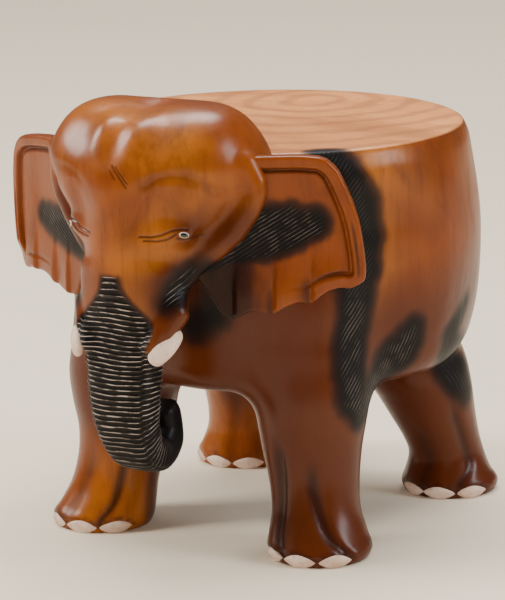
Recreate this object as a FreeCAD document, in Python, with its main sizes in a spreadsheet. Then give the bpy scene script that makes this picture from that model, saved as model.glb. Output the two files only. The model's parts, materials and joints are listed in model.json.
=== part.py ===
import FreeCAD, Part
import math
import os
import Sketcher
from FreeCAD import Placement, Rotation, Vector

# A carved wooden elephant that is also a stool: a barrel-shaped log with a flat round seat and
# four legs, a head block with its trunk, two ears, two tusks, inlaid eyes and toenails, and the
# dowels of the glued joints.
#
# Frame: +Z up, floor at Z = 0, the elephant faces -Y, its left side is +X. The origin is under
# the middle of the object's own box. The seat's axis stands at X = 0, Y = seat_axis_y.

os.makedirs("parts", exist_ok=True)
doc = FreeCAD.newDocument("carved_elephant")

# ----------------------------------------------------------------------------------------------
# Driving dimensions, in millimetres and degrees
# ----------------------------------------------------------------------------------------------

DIMENSIONS = {
    # The log, turned to a barrel
    "seat_height": 360.0,
    "seat_radius": 172.5,
    "shoulder_height": 345.0,
    "shoulder_radius": 179.8,
    "edge_round": 18.0,
    "barrel_radius": 188.6,
    "barrel_widest_height": 249.0,
    "barrel_upper_curve": 485.0,
    "barrel_lower_curve": 285.0,
    "belly_edge_height": 150.0,
    "belly_height": 138.0,
    "belly_flat_radius": 148.0,
    "belly_edge_curve": 26.0,
    "seat_axis_y": 36.1,
    # The flat planed on the front of the log, where the head block is glued
    "neck_flat_y": -173.5,
    # Feet
    "front_foot_x": 113.6,
    "front_foot_y": -116.0,
    "rear_foot_x": 112.4,
    "rear_foot_y": 128.0,
    # Neck dowels
    "neck_dowel_radius": 8.0,
    "neck_dowel_length": 80.0,
    "neck_dowel_clearance": 0.1,
    "upper_dowel_x": 34.0,
    "upper_dowel_height": 322.0,
    "lower_dowel_height": 284.0,
    # Ears: flat plates that stand off the sides of the head
    "ear_root_x": 106.0,
    "ear_root_y": -186.0,
    "ear_turn": 27.6,
    "ear_thickness": 11.0,
    "ear_dowel_radius": 3.0,
    "ear_dowel_length": 34.0,
    "ear_dowel_clearance": 0.1,
    "ear_dowel_start_x": 62.0,
    # Tusks: a tapered stub with a round tenon in the head
    "tusk_root_x": 46.0,
    "tusk_root_y": -237.0,
    "tusk_root_height": 217.0,
    "tusk_length": 34.0,
    "tusk_root_radius": 9.5,
    "tusk_tip_radius": 6.0,
    "tenon_length": 16.0,
    "tenon_radius": 6.0,
    "tenon_clearance": 0.1,
    # Eyes
    "eye_x": 57.0,
    "eye_y": -238.0,
    "eye_height": 304.0,
    "eye_ring_radius": 4.2,
    "eye_ring_depth": 7.0,
    "eye_bead_radius": 2.4,
    # Toenails: lens-shaped inlays, flush with the foot. The lens lies between two arcs, and its
    # flat back stands nail_back from the middle of the foot
    "nail_height": 6.8,
    "nail_half_height": 6.2,
    "nail_arc_radius": 20.5,
    "nail_back": 40.5,
    "nail_reach": 20.0,
    # Tail, in low relief
    "tail_radius": 9.0,
    "tail_top_height": 318.0,
    "tail_tuft_height": 196.0,
    "tail_y": 183.5,
    "tuft_half_width": 15.0,
    "tuft_half_height": 27.0,
    "tuft_half_depth": 9.0,
}

# Leg sections from the sole up: height, how far out the centre is (1 is over the foot), radius
FRONT_LEG = [
    (0.0, 1.00, 43.5),
    (8.0, 1.00, 46.2),
    (20.0, 0.97, 43.4),
    (40.0, 0.93, 39.0),
    (62.0, 0.89, 39.4),
    (88.0, 0.86, 43.0),
    (116.0, 0.86, 48.0),
    (145.0, 0.83, 54.0),
    (175.0, 0.76, 58.0),
    (205.0, 0.67, 58.0),
]
REAR_LEG = [
    (0.0, 1.00, 43.0),
    (8.0, 1.00, 45.0),
    (20.0, 0.99, 39.5),
    (36.0, 0.98, 35.0),
    (52.0, 0.95, 35.8),
    (72.0, 0.905, 39.8),
    (92.0, 0.86, 44.5),
    (112.0, 0.82, 48.5),
    (134.0, 0.80, 48.5),
    (156.0, 0.775, 46.5),
    (180.0, 0.73, 44.0),
    (205.0, 0.67, 40.0),
]

# Head sections from the jaw up: height, centre y, half width, half depth
HEAD = [
    (236.0, -238.0, 39.0, 20.0),
    (250.0, -231.0, 46.5, 28.5),
    (266.0, -220.0, 50.0, 39.5),
    (285.0, -200.0, 61.0, 60.0),
    (300.0, -191.0, 74.0, 69.0),
    (320.0, -183.0, 86.0, 76.0),
    (340.0, -180.0, 93.0, 78.5),
    (361.0, -178.0, 96.5, 79.0),
    (378.0, -180.0, 88.0, 72.0),
    (390.0, -184.0, 72.0, 60.0),
    (397.0, -187.0, 54.0, 46.0),
]
# The two domes of the forehead: centre x, y, height, half width, half depth, half height
DOME = {"x": 40.0, "y": -194.0, "height": 364.0, "wide": 51.0, "deep": 58.0, "high": 42.0}
# The brown sheath round the root of each tusk: centre x, y, height, half width, half length
SHEATH = {"x": 37.0, "y": -229.0, "height": 229.0, "wide": 18.0, "long": 25.0}

# Trunk sections along its middle line: y, height, tilt (180 is straight down, 270 is backward,
# 360 is up), half width, half depth
TRUNK = [
    (-233.0, 262.0, 180.0, 45.0, 26.0),
    (-237.5, 238.0, 180.0, 43.0, 22.8),
    (-239.5, 214.0, 180.0, 37.0, 21.0),
    (-241.5, 184.0, 180.0, 31.0, 18.8),
    (-242.0, 156.0, 183.0, 28.0, 17.6),
    (-237.0, 130.0, 200.0, 25.0, 17.0),
    (-222.0, 109.0, 238.0, 22.0, 16.6),
    (-198.0, 102.0, 275.0, 20.0, 16.0),
    (-179.0, 115.0, 335.0, 18.5, 15.5),
    (-189.0, 138.0, 385.0, 16.5, 12.5),
]

# Ear outline in the plane of the ear: distance out from the root line, height
EAR_EDGE = [
    (-32.0, 345.0),
    (-16.0, 359.0),
    (2.0, 365.0),
    (28.0, 366.0),
    (50.0, 364.0),
    (62.0, 354.0),
    (73.0, 326.0),
    (80.0, 295.0),
    (83.0, 262.0),
    (76.0, 254.0),
    (62.0, 252.5),
    (50.0, 250.0),
    (36.0, 239.5),
    (15.0, 237.0),
    (4.0, 230.5),
    (-15.0, 233.0),
    (-33.0, 227.0),
    (-43.0, 239.0),
    (-50.0, 262.0),
    (-60.0, 284.0),
    (-50.0, 318.0),
]
EAR_DOWEL_HEIGHTS = (300.0, 338.0)

# Toenails of each foot, in degrees from straight ahead toward the elephant's left
NAIL_ANGLES = {
    "front_left": (-39.0, 5.0, 48.0),
    "front_right": (-39.0, 5.0, 48.0),
    "rear_left": (-27.0, 14.0, 57.0),
    "rear_right": (-48.0, -6.0, 36.0),
}

# Which way and how steeply a left tusk points
TUSK_DIRECTION = Vector(-0.34, -0.70, -0.63)

sheet = doc.addObject("Spreadsheet::Sheet", "dims")
next_row = 1


def add_dimension(alias, value):
    """Put one named number in the sheet, as text, and give its cell that name."""
    global next_row
    sheet.set(f"A{next_row}", alias)
    sheet.set(f"B{next_row}", str(value))
    sheet.setAlias(f"B{next_row}", alias)
    next_row += 1


def add_sections(name, sections, fields):
    """Put a table of sections in the sheet, one alias for each number."""
    for index, section in enumerate(sections):
        for field, value in zip(fields, section):
            add_dimension(f"{name}_{field}_{index}", value)


for alias, value in DIMENSIONS.items():
    add_dimension(alias, value)
for field, value in DOME.items():
    add_dimension(f"dome_{field}", value)
for field, value in SHEATH.items():
    add_dimension(f"sheath_{field}", value)
add_sections("front_leg", FRONT_LEG, ("height", "reach", "radius"))
add_sections("rear_leg", REAR_LEG, ("height", "reach", "radius"))
add_sections("head", HEAD, ("height", "y", "wide", "deep"))
add_sections("trunk", TRUNK, ("y", "height", "tilt", "wide", "deep"))
doc.recompute()


def size(alias):
    """A number of the sheet, for the few shapes that are worked out in code."""
    return float(sheet.get(alias))


# ----------------------------------------------------------------------------------------------
# Helpers
# ----------------------------------------------------------------------------------------------

def bind(obj, **expressions):
    """Bind properties of an object to formulas over the sheet. A __ in a name stands for a dot."""
    for name, formula in expressions.items():
        obj.setExpression(name.replace("__", "."), formula)
    return obj


def add_boolean(kind, name, base, tools):
    """Fuse, cut or intersect. More than one tool is fused first."""
    if len(tools) == 1:
        tool = tools[0]
    else:
        tool = doc.addObject("Part::MultiFuse", name + "_tools")
        tool.Shapes = tools
    result = doc.addObject(kind, name)
    result.Base = base
    result.Tool = tool
    return result


def add_fuse(name, shapes):
    fuse = doc.addObject("Part::MultiFuse", name)
    fuse.Shapes = shapes
    return fuse


def add_loft(name, sections):
    loft = doc.addObject("Part::Loft", name)
    loft.Sections = sections
    loft.Solid = True
    loft.Ruled = False
    loft.MaxDegree = 3
    return loft


def mirrored(name, source):
    """The same piece on the other side of the middle plane."""
    mirror = doc.addObject("Part::Mirroring", name)
    mirror.Source = source
    mirror.Normal = Vector(1, 0, 0)
    return mirror


def add_cylinder(name, radius, height, place):
    """A cylinder along its own Z, with radius and height as formulas."""
    cylinder = doc.addObject("Part::Cylinder", name)
    cylinder.Placement = place
    return bind(cylinder, Radius=radius, Height=height)


def turned_to(direction):
    """The rotation that turns +Z to a direction."""
    return Rotation(Vector(0, 0, 1), direction)


def as_sub_part(obj, node):
    obj.Label = node
    sub_parts.append(obj)
    return obj


sub_parts = []
UP = Rotation()
SEAT_AXIS_Y = size("seat_axis_y")

# ----------------------------------------------------------------------------------------------
# The log: barrel, legs and tail before the joints are cut
# ----------------------------------------------------------------------------------------------


def origin_plane(body, role):
    return next(feature for feature in body.Origin.OriginFeatures if feature.Role == role)


def barrel_arc(sketch, centre, radius, start_angle, end_angle):
    circle = Part.Circle(Vector(centre[0], centre[1], 0), Vector(0, 0, 1), radius)
    return sketch.addGeometry(Part.ArcOfCircle(circle, start_angle, end_angle))


def arc_through(sketch, first, middle, last):
    points = [Vector(x, height, 0) for x, height in (first, middle, last)]
    return sketch.addGeometry(Part.Arc(*points))


def build_barrel():
    """The turned barrel: half its outline, revolved about the seat's axis."""
    body = doc.addObject("PartDesign::Body", "barrel")
    sketch = body.newObject("Sketcher::SketchObject", "barrel_outline")
    sketch.AttachmentSupport = [(origin_plane(body, "XZ_Plane"), "")]
    sketch.MapMode = "FlatFace"

    widest = (size("barrel_radius"), size("barrel_widest_height"))
    shoulder = (size("shoulder_radius"), size("shoulder_height"))
    seat_edge = (size("seat_radius"), size("seat_height"))
    seat_middle = (0.0, size("seat_height"))
    belly_middle = (0.0, size("belly_height"))
    belly_rim = (size("belly_flat_radius"), size("belly_height"))
    upper_curve = size("barrel_upper_curve")
    lower_curve = size("barrel_lower_curve")
    upper_angle = math.asin((shoulder[1] - widest[1]) / upper_curve)
    lower_angle = math.asin((widest[1] - size("belly_edge_height")) / lower_curve)
    belly_edge = (
        widest[0] - lower_curve * (1 - math.cos(lower_angle)),
        size("belly_edge_height"),
    )

    seat = sketch.addGeometry(Part.LineSegment(Vector(*seat_middle, 0), Vector(*seat_edge, 0)))
    edge = arc_through(
        sketch, shoulder,
        ((shoulder[0] + seat_edge[0]) / 2 + 1.5, (shoulder[1] + seat_edge[1]) / 2 + 1.5),
        seat_edge)
    upper = barrel_arc(sketch, (widest[0] - upper_curve, widest[1]), upper_curve, 0, upper_angle)
    lower = barrel_arc(sketch, (widest[0] - lower_curve, widest[1]), lower_curve, -lower_angle, 0)
    rim = arc_through(
        sketch, belly_rim,
        ((belly_rim[0] + belly_edge[0]) / 2 + 2.5, (belly_rim[1] + belly_edge[1]) / 2 - 2.5),
        belly_edge)
    belly = sketch.addGeometry(
        Part.LineSegment(Vector(*belly_rim, 0), Vector(*belly_middle, 0)))
    axis = sketch.addGeometry(
        Part.LineSegment(Vector(*belly_middle, 0), Vector(*seat_middle, 0)))

    def join(first, first_end, second, second_end):
        sketch.addConstraint(
            Sketcher.Constraint("Coincident", first, first_end, second, second_end))

    def fix(kind, geometry, point, formula, value):
        index = sketch.addConstraint(Sketcher.Constraint(kind, -1, 1, geometry, point, value))
        sketch.setExpression(f"Constraints[{index}]", formula)

    def round_to(geometry, formula, value):
        index = sketch.addConstraint(Sketcher.Constraint("Radius", geometry, value))
        sketch.setExpression(f"Constraints[{index}]", formula)

    join(seat, 2, edge, 2)
    join(edge, 1, upper, 2)
    join(upper, 1, lower, 2)
    join(lower, 1, rim, 2)
    join(rim, 1, belly, 1)
    join(belly, 2, axis, 1)
    join(axis, 2, seat, 1)
    sketch.addConstraint(Sketcher.Constraint("PointOnObject", seat, 1, -2))
    sketch.addConstraint(Sketcher.Constraint("PointOnObject", belly, 2, -2))
    fix("DistanceY", seat, 1, "dims.seat_height", seat_middle[1])
    fix("DistanceX", seat, 2, "dims.seat_radius", seat_edge[0])
    fix("DistanceY", seat, 2, "dims.seat_height", seat_edge[1])
    fix("DistanceY", upper, 2, "dims.shoulder_height", shoulder[1])
    fix("DistanceX", upper, 1, "dims.barrel_radius", widest[0])
    fix("DistanceY", upper, 1, "dims.barrel_widest_height", widest[1])
    fix("DistanceY", upper, 3, "dims.barrel_widest_height", widest[1])
    fix("DistanceY", lower, 3, "dims.barrel_widest_height", widest[1])
    fix("DistanceY", lower, 1, "dims.belly_edge_height", belly_edge[1])
    fix("DistanceX", rim, 1, "dims.belly_flat_radius", belly_rim[0])
    fix("DistanceY", rim, 1, "dims.belly_height", belly_rim[1])
    fix("DistanceY", belly, 2, "dims.belly_height", belly_middle[1])
    round_to(upper, "dims.barrel_upper_curve", upper_curve)
    round_to(lower, "dims.barrel_lower_curve", lower_curve)
    round_to(edge, "dims.edge_round", size("edge_round"))
    round_to(rim, "dims.belly_edge_curve", size("belly_edge_curve"))

    revolution = body.newObject("PartDesign::Revolution", "barrel_turned")
    revolution.Profile = sketch
    revolution.ReferenceAxis = (sketch, ["V_Axis"])
    revolution.Angle = 360
    body.Tip = revolution
    bind(body, Placement__Base__y="dims.seat_axis_y")
    return body


def build_leg(name, foot, table, count, side):
    """A leg lofted through circles, from the sole up into the barrel."""
    sections = []
    for index in range(count):
        circle = doc.addObject("Part::Circle", f"{name}_section_{index}")
        bind(
            circle,
            Radius=f"dims.{table}_radius_{index}",
            Placement__Base__x=f"{side} * dims.{foot}_x * dims.{table}_reach_{index}",
            Placement__Base__y=f"dims.seat_axis_y + dims.{foot}_y * dims.{table}_reach_{index}",
            Placement__Base__z=f"dims.{table}_height_{index}",
        )
        sections.append(circle)
    return add_loft(name, sections)


def build_tail():
    """The tail in low relief: a rounded stalk and a tuft, half sunk in the rump."""
    stalk = doc.addObject("Part::Cylinder", "tail_stalk")
    bind(
        stalk,
        Radius="dims.tail_radius",
        Height="dims.tail_top_height - dims.tail_tuft_height",
        Placement__Base__y="dims.seat_axis_y + dims.tail_y",
        Placement__Base__z="dims.tail_tuft_height",
    )
    top = doc.addObject("Part::Sphere", "tail_top")
    bind(
        top,
        Radius="dims.tail_radius",
        Placement__Base__y="dims.seat_axis_y + dims.tail_y",
        Placement__Base__z="dims.tail_top_height",
    )
    tuft = doc.addObject("Part::Ellipsoid", "tail_tuft")
    bind(
        tuft,
        Radius1="dims.tuft_half_height",
        Radius2="dims.tuft_half_width",
        Radius3="dims.tuft_half_depth",
        Placement__Base__y="dims.seat_axis_y + dims.tail_y + 2",
        Placement__Base__z="dims.tail_tuft_height",
    )
    return [stalk, top, tuft]


FEET = [
    ("front_left", "front_foot", "front_leg", FRONT_LEG, 1),
    ("front_right", "front_foot", "front_leg", FRONT_LEG, -1),
    ("rear_left", "rear_foot", "rear_leg", REAR_LEG, 1),
    ("rear_right", "rear_foot", "rear_leg", REAR_LEG, -1),
]

legs = {}
for name, foot, table, sections, side in FEET:
    legs[name] = build_leg(name + "_leg", foot, table, len(sections), side)
log_blank = add_fuse("log_blank", [build_barrel(), *legs.values(), *build_tail()])

# ----------------------------------------------------------------------------------------------
# Toenails: lenses that meet the foot's own surface
# ----------------------------------------------------------------------------------------------


def build_nail_lens(name, foot_x, foot_y, angle):
    """A lens-shaped prism that points out of a foot: what two level cylinders share."""
    out = math.radians(angle)
    middle = Vector(
        foot_x + size("nail_back") * math.sin(out),
        foot_y - size("nail_back") * math.cos(out),
        0,
    )
    turn = Rotation(Vector(0, 0, 1), angle).multiply(Rotation(Vector(1, 0, 0), 90))
    halves = []
    for half, sign in (("over", "-"), ("under", "+")):
        cylinder = doc.addObject("Part::Cylinder", f"{name}_{half}")
        cylinder.Placement = Placement(middle, turn)
        offset = f"{sign} (dims.nail_arc_radius - dims.nail_half_height)"
        bind(
            cylinder,
            Radius="dims.nail_arc_radius",
            Height="dims.nail_reach",
            Placement__Base__z=f"dims.nail_height {offset}",
        )
        halves.append(cylinder)
    return add_boolean("Part::Common", name, halves[0], [halves[1]])


def build_nail_lenses(name, foot, side):
    foot_x = side * size(foot + "_x")
    foot_y = SEAT_AXIS_Y + size(foot + "_y")
    lenses = []
    for index, angle in enumerate(NAIL_ANGLES[name]):
        lenses.append(build_nail_lens(f"{name}_nail_lens_{index}", foot_x, foot_y, angle))
    return add_fuse(name + "_nail_lenses", lenses)


nail_lenses = []
for name, foot, table, sections, side in FEET:
    lenses = build_nail_lenses(name, foot, side)
    nail_lenses.append(lenses)
    nails = add_boolean("Part::Common", name + "_nails", legs[name], [lenses])
    as_sub_part(nails, name + "_toenails")

# ----------------------------------------------------------------------------------------------
# Neck joint: dowels and their bores
# ----------------------------------------------------------------------------------------------

NECK_DOWELS = [
    ("left", "dims.upper_dowel_x", "dims.upper_dowel_height"),
    ("right", "-dims.upper_dowel_x", "dims.upper_dowel_height"),
    ("lower", "0", "dims.lower_dowel_height"),
]


def build_neck_rods(suffix, extra):
    """Three rods across the glued face. With extra, they are the bores, a little larger."""
    rods = []
    for name, across, height in NECK_DOWELS:
        rod = add_cylinder(
            f"neck_{name}_{suffix}",
            f"dims.neck_dowel_radius + {extra}",
            f"dims.neck_dowel_length + 2 * {extra}",
            Placement(Vector(), Rotation(Vector(1, 0, 0), 90)),
        )
        bind(
            rod,
            Placement__Base__x=across,
            Placement__Base__y=(
                f"dims.seat_axis_y + dims.neck_flat_y + dims.neck_dowel_length / 2 + {extra}"
            ),
            Placement__Base__z=height,
        )
        rods.append(rod)
    return add_fuse("neck_" + suffix + "s", rods)


as_sub_part(build_neck_rods("dowel", "0"), "neck_dowels")
neck_bores = build_neck_rods("bore", "dims.neck_dowel_clearance")

head_side = doc.addObject("Part::Box", "head_side_of_neck")
bind(
    head_side,
    Length="4 * dims.barrel_radius",
    Width="2 * dims.barrel_radius",
    Height="2 * dims.seat_height",
    Placement__Base__x="-2 * dims.barrel_radius",
    Placement__Base__y="dims.seat_axis_y + dims.neck_flat_y - 2 * dims.barrel_radius",
    Placement__Base__z="0",
)

# Only the part of the log above the belly is planed, so the feet keep their full roundness
neck_plane = doc.addObject("Part::Box", "neck_planing")
bind(
    neck_plane,
    Length="2 * dims.barrel_radius",
    Width="dims.barrel_radius",
    Height="dims.seat_height",
    Placement__Base__x="-dims.barrel_radius",
    Placement__Base__y="dims.seat_axis_y + dims.neck_flat_y - dims.barrel_radius",
    Placement__Base__z="dims.belly_height",
)

log_planed = add_boolean("Part::Cut", "log_planed", log_blank, [neck_plane])
log_bored = add_boolean("Part::Cut", "log_bored", log_planed, [neck_bores])
as_sub_part(add_boolean("Part::Cut", "log_with_nail_seats", log_bored, nail_lenses), "body_log")

# ----------------------------------------------------------------------------------------------
# Head and trunk
# ----------------------------------------------------------------------------------------------


def build_head_block():
    sections = []
    for index in range(len(HEAD)):
        ellipse = doc.addObject("Part::Ellipse", f"head_section_{index}")
        bind(
            ellipse,
            MajorRadius=f"dims.head_wide_{index}",
            MinorRadius=f"dims.head_deep_{index}",
            Placement__Base__y=f"dims.seat_axis_y + dims.head_y_{index}",
            Placement__Base__z=f"dims.head_height_{index}",
        )
        sections.append(ellipse)
    return add_loft("head_block", sections)


def build_dome(name, side):
    dome = doc.addObject("Part::Ellipsoid", name)
    return bind(
        dome,
        Radius1="dims.dome_high",
        Radius2="dims.dome_wide",
        Radius3="dims.dome_deep",
        Placement__Base__x=f"{side} * dims.dome_x",
        Placement__Base__y="dims.seat_axis_y + dims.dome_y",
        Placement__Base__z="dims.dome_height",
    )


def build_trunk():
    """The trunk: ellipses along a line that goes down, turns back and ends upward."""
    sections = []
    for index, (_, _, tilt, _, _) in enumerate(TRUNK):
        ellipse = doc.addObject("Part::Ellipse", f"trunk_section_{index}")
        ellipse.Placement = Placement(Vector(), Rotation(Vector(1, 0, 0), tilt))
        bind(
            ellipse,
            MajorRadius=f"dims.trunk_wide_{index}",
            MinorRadius=f"dims.trunk_deep_{index}",
            Placement__Base__y=f"dims.seat_axis_y + dims.trunk_y_{index}",
            Placement__Base__z=f"dims.trunk_height_{index}",
        )
        sections.append(ellipse)
    return add_loft("trunk", sections)


def build_sheath():
    """The sheath of a left tusk: an egg along the line of the tusk."""
    sheath = doc.addObject("Part::Ellipsoid", "left_sheath")
    sheath.Placement = Placement(
        Vector(size("sheath_x"), SEAT_AXIS_Y + size("sheath_y"), size("sheath_height")),
        turned_to(TUSK_DIRECTION),
    )
    return bind(
        sheath,
        Radius1="dims.sheath_long",
        Radius2="dims.sheath_wide",
        Radius3="dims.sheath_wide",
    )


skull = add_fuse(
    "skull", [build_head_block(), build_dome("left_dome", 1), build_dome("right_dome", -1)])
skull_planed = add_boolean("Part::Common", "skull_planed", skull, [head_side])
left_sheath = build_sheath()
right_sheath = mirrored("right_sheath", left_sheath)
head_planed = add_fuse("head_planed", [skull_planed, left_sheath, right_sheath, build_trunk()])

# ----------------------------------------------------------------------------------------------
# Tusks, and their sockets
# ----------------------------------------------------------------------------------------------


def build_tusk():
    """A left tusk: a tapered stub with a rounded tip, and a tenon behind it."""
    root = Vector(
        size("tusk_root_x"),
        SEAT_AXIS_Y + size("tusk_root_y"),
        size("tusk_root_height"),
    )
    turn = turned_to(TUSK_DIRECTION)
    stub = doc.addObject("Part::Cone", "tusk_stub")
    stub.Placement = Placement(root, turn)
    bind(
        stub,
        Radius1="dims.tusk_root_radius",
        Radius2="dims.tusk_tip_radius",
        Height="dims.tusk_length",
    )
    tip = doc.addObject("Part::Sphere", "tusk_tip")
    tip.Placement = Placement(root + turn.multVec(Vector(0, 0, size("tusk_length"))), turn)
    bind(tip, Radius="dims.tusk_tip_radius")
    tenon_end = root - turn.multVec(Vector(0, 0, size("tenon_length")))
    tenon = add_cylinder(
        "tusk_tenon", "dims.tenon_radius", "dims.tenon_length + 2", Placement(tenon_end, turn))
    clearance = size("tenon_clearance")
    socket = add_cylinder(
        "tusk_socket",
        "dims.tenon_radius + dims.tenon_clearance",
        "dims.tenon_length + 2",
        Placement(tenon_end - turn.multVec(Vector(0, 0, clearance)), turn),
    )
    return add_fuse("tusk", [stub, tip, tenon]), add_fuse("tusk_hole", [stub, tip, socket])


left_tusk, left_tusk_hole = build_tusk()

# ----------------------------------------------------------------------------------------------
# Eyes: a white ring let into the head, with a black bead in it
# ----------------------------------------------------------------------------------------------


def build_eye():
    surface = Vector(size("eye_x"), SEAT_AXIS_Y + size("eye_y"), size("eye_height"))
    outward = Vector(0.62, -0.78, 0.05)
    turn = turned_to(outward)
    back = surface - turn.multVec(Vector(0, 0, size("eye_ring_depth")))
    blank = add_cylinder(
        "eye_blank", "dims.eye_ring_radius", "dims.eye_ring_depth", Placement(back, turn))
    bead = doc.addObject("Part::Sphere", "eye_bead")
    bead.Placement = Placement(surface - turn.multVec(Vector(0, 0, 1.4)), turn)
    bind(bead, Radius="dims.eye_bead_radius")
    ring = add_boolean("Part::Cut", "eye_ring", blank, [bead])
    return blank, ring, bead


left_eye_blank, left_eye_ring, left_eye_bead = build_eye()

# ----------------------------------------------------------------------------------------------
# Ears, and their dowels
# ----------------------------------------------------------------------------------------------


def build_ear_plate():
    """A left ear before it is fitted: its outline, padded, and turned to stand off the head."""
    body = doc.addObject("PartDesign::Body", "ear_plate")
    sketch = body.newObject("Sketcher::SketchObject", "ear_outline")
    sketch.AttachmentSupport = [(origin_plane(body, "XZ_Plane"), "")]
    sketch.MapMode = "FlatFace"
    corners = [Vector(out, height, 0) for out, height in EAR_EDGE]
    curve = Part.BSplineCurve()
    curve.interpolate(corners, PeriodicFlag=True)
    sketch.addGeometry(curve)
    pad = body.newObject("PartDesign::Pad", "ear_pad")
    pad.Profile = sketch
    pad.Midplane = True
    body.Tip = pad
    bind(pad, Length="dims.ear_thickness")
    body.Placement = Placement(Vector(), Rotation(Vector(0, 0, 1), size("ear_turn")))
    return bind(
        body,
        Placement__Base__x="dims.ear_root_x",
        Placement__Base__y="dims.seat_axis_y + dims.ear_root_y",
    )


def build_ear_rods(suffix, extra):
    """Two rods across the glued root of a left ear, square to the ear's plane at the head."""
    rods = []
    for index, height in enumerate(EAR_DOWEL_HEIGHTS):
        turn = Rotation(Vector(0, 0, 1), size("ear_turn")) * Rotation(Vector(0, 1, 0), 90)
        rod = add_cylinder(
            f"ear_{suffix}_{index}",
            f"dims.ear_dowel_radius + {extra}",
            f"dims.ear_dowel_length + 2 * {extra}",
            Placement(Vector(), turn),
        )
        start_x = size("ear_dowel_start_x") + (height - EAR_DOWEL_HEIGHTS[0]) * 0.45
        root_slope = math.tan(math.radians(size("ear_turn")))
        start_y = SEAT_AXIS_Y + size("ear_root_y") + (start_x - size("ear_root_x")) * root_slope
        rod.Placement.Base = Vector(start_x, start_y, height) - turn.multVec(
            Vector(0, 0, size("ear_dowel_clearance") if suffix == "bore" else 0))
        rods.append(rod)
    return add_fuse("ear_" + suffix + "s", rods)


ear_plate = build_ear_plate()
left_ear_dowels = build_ear_rods("dowel", "0")
left_ear_bores = build_ear_rods("bore", "dims.ear_dowel_clearance")

# ----------------------------------------------------------------------------------------------
# The left pieces, their mirror images, and the head with every socket cut
# ----------------------------------------------------------------------------------------------

left_ear = add_boolean("Part::Cut", "ear_fitted", ear_plate, [head_planed, left_ear_bores])
as_sub_part(left_ear, "left_ear")
as_sub_part(left_ear_dowels, "left_ear_dowels")
as_sub_part(left_tusk, "left_tusk")
as_sub_part(left_eye_ring, "left_eye_white")
as_sub_part(left_eye_bead, "left_eye_bead")
as_sub_part(mirrored("ear_mirror", left_ear), "right_ear")
as_sub_part(mirrored("ear_dowels_mirror", left_ear_dowels), "right_ear_dowels")
as_sub_part(mirrored("tusk_mirror", left_tusk), "right_tusk")
as_sub_part(mirrored("eye_ring_mirror", left_eye_ring), "right_eye_white")
as_sub_part(mirrored("eye_bead_mirror", left_eye_bead), "right_eye_bead")

head_sockets = [
    left_tusk_hole,
    mirrored("tusk_hole_mirror", left_tusk_hole),
    left_eye_blank,
    mirrored("eye_blank_mirror", left_eye_blank),
    left_ear_bores,
    mirrored("ear_bores_mirror", left_ear_bores),
    neck_bores,
]
as_sub_part(add_boolean("Part::Cut", "head_with_sockets", head_planed, head_sockets), "head")

# ----------------------------------------------------------------------------------------------
# Checks and files
# ----------------------------------------------------------------------------------------------

doc.recompute()
for obj in doc.Objects:
    if "Invalid" in obj.State or "Error" in obj.State:
        raise RuntimeError(f"{obj.Name} failed: {obj.State}")
for obj in sub_parts:
    shape = obj.Shape
    if shape.isNull() or not shape.isValid() or not shape.Solids:
        raise RuntimeError(f"{obj.Label} has no valid solid")

box = FreeCAD.BoundBox()
for obj in sub_parts:
    obj.Shape.exportStep(f"parts/{obj.Label}.step")
    box.add(obj.Shape.BoundBox)
    solids = len(obj.Shape.Solids)
    print(f"{obj.Label}: {solids} solid(s), {obj.Shape.Volume / 1000:.2f} cm3")
print(f"box X {box.XMin:.2f} {box.XMax:.2f} Y {box.YMin:.2f} {box.YMax:.2f} Z {box.ZMin:.2f} {box.ZMax:.2f}")
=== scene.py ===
"""A carved wooden elephant that is also a stool: barrel body with a flat seat, lacquered wood,
burnt patches with carved strokes, a wrinkled black trunk, pale tusks and toenails."""
import json
import math

import bmesh
import bpy
import numpy as np
from mathutils import Matrix, Vector


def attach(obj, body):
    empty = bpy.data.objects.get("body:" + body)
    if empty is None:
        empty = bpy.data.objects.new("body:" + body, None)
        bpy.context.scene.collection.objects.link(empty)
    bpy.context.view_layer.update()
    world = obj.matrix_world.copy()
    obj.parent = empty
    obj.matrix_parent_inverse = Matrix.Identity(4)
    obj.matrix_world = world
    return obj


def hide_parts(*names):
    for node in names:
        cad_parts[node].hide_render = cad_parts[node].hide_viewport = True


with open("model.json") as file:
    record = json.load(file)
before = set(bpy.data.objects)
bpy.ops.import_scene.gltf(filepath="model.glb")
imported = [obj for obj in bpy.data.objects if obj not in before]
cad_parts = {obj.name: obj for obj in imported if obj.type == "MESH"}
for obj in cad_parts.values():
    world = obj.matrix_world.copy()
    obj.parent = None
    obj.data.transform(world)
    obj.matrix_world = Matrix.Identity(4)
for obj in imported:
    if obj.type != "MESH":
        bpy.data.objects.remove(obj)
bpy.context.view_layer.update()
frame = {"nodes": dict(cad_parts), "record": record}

# ==== Places, in millimetres round the seat's axis ====
# X to the elephant's left, Y to its back, Z up

MM = 0.001
MOUNTS = {mount["name"]: mount["pos_m"] for mount in frame["record"]["mounts"]}
SEAT_AXIS_Y = MOUNTS["seat_top"][1] / MM
SEAT_HEIGHT = MOUNTS["seat_top"][2] / MM


def foot_place(corner):
    """X and Y of a foot's centre, from its sole in the record."""
    x, y, _ = MOUNTS["sole_" + corner]
    return x / MM, y / MM - SEAT_AXIS_Y


# ==== Shapes as distance fields: negative inside, positive outside, p is (x, y, z) in arrays ====


def soft_min(a, b, reach):
    """The union of two fields, with a fillet about reach wide."""
    h = np.maximum(reach - np.abs(a - b), 0.0) / reach
    return np.minimum(a, b) - h * h * reach * 0.25


def joined(field, *others):
    """The union with other fields one after another, each given with the reach of its fillet."""
    for other, reach in others:
        field = soft_min(field, other, reach)
    return field


def soft_max(a, b, reach):
    """The intersection of two fields, with a rounded edge about reach wide."""
    return -soft_min(-a, -b, reach)


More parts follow.
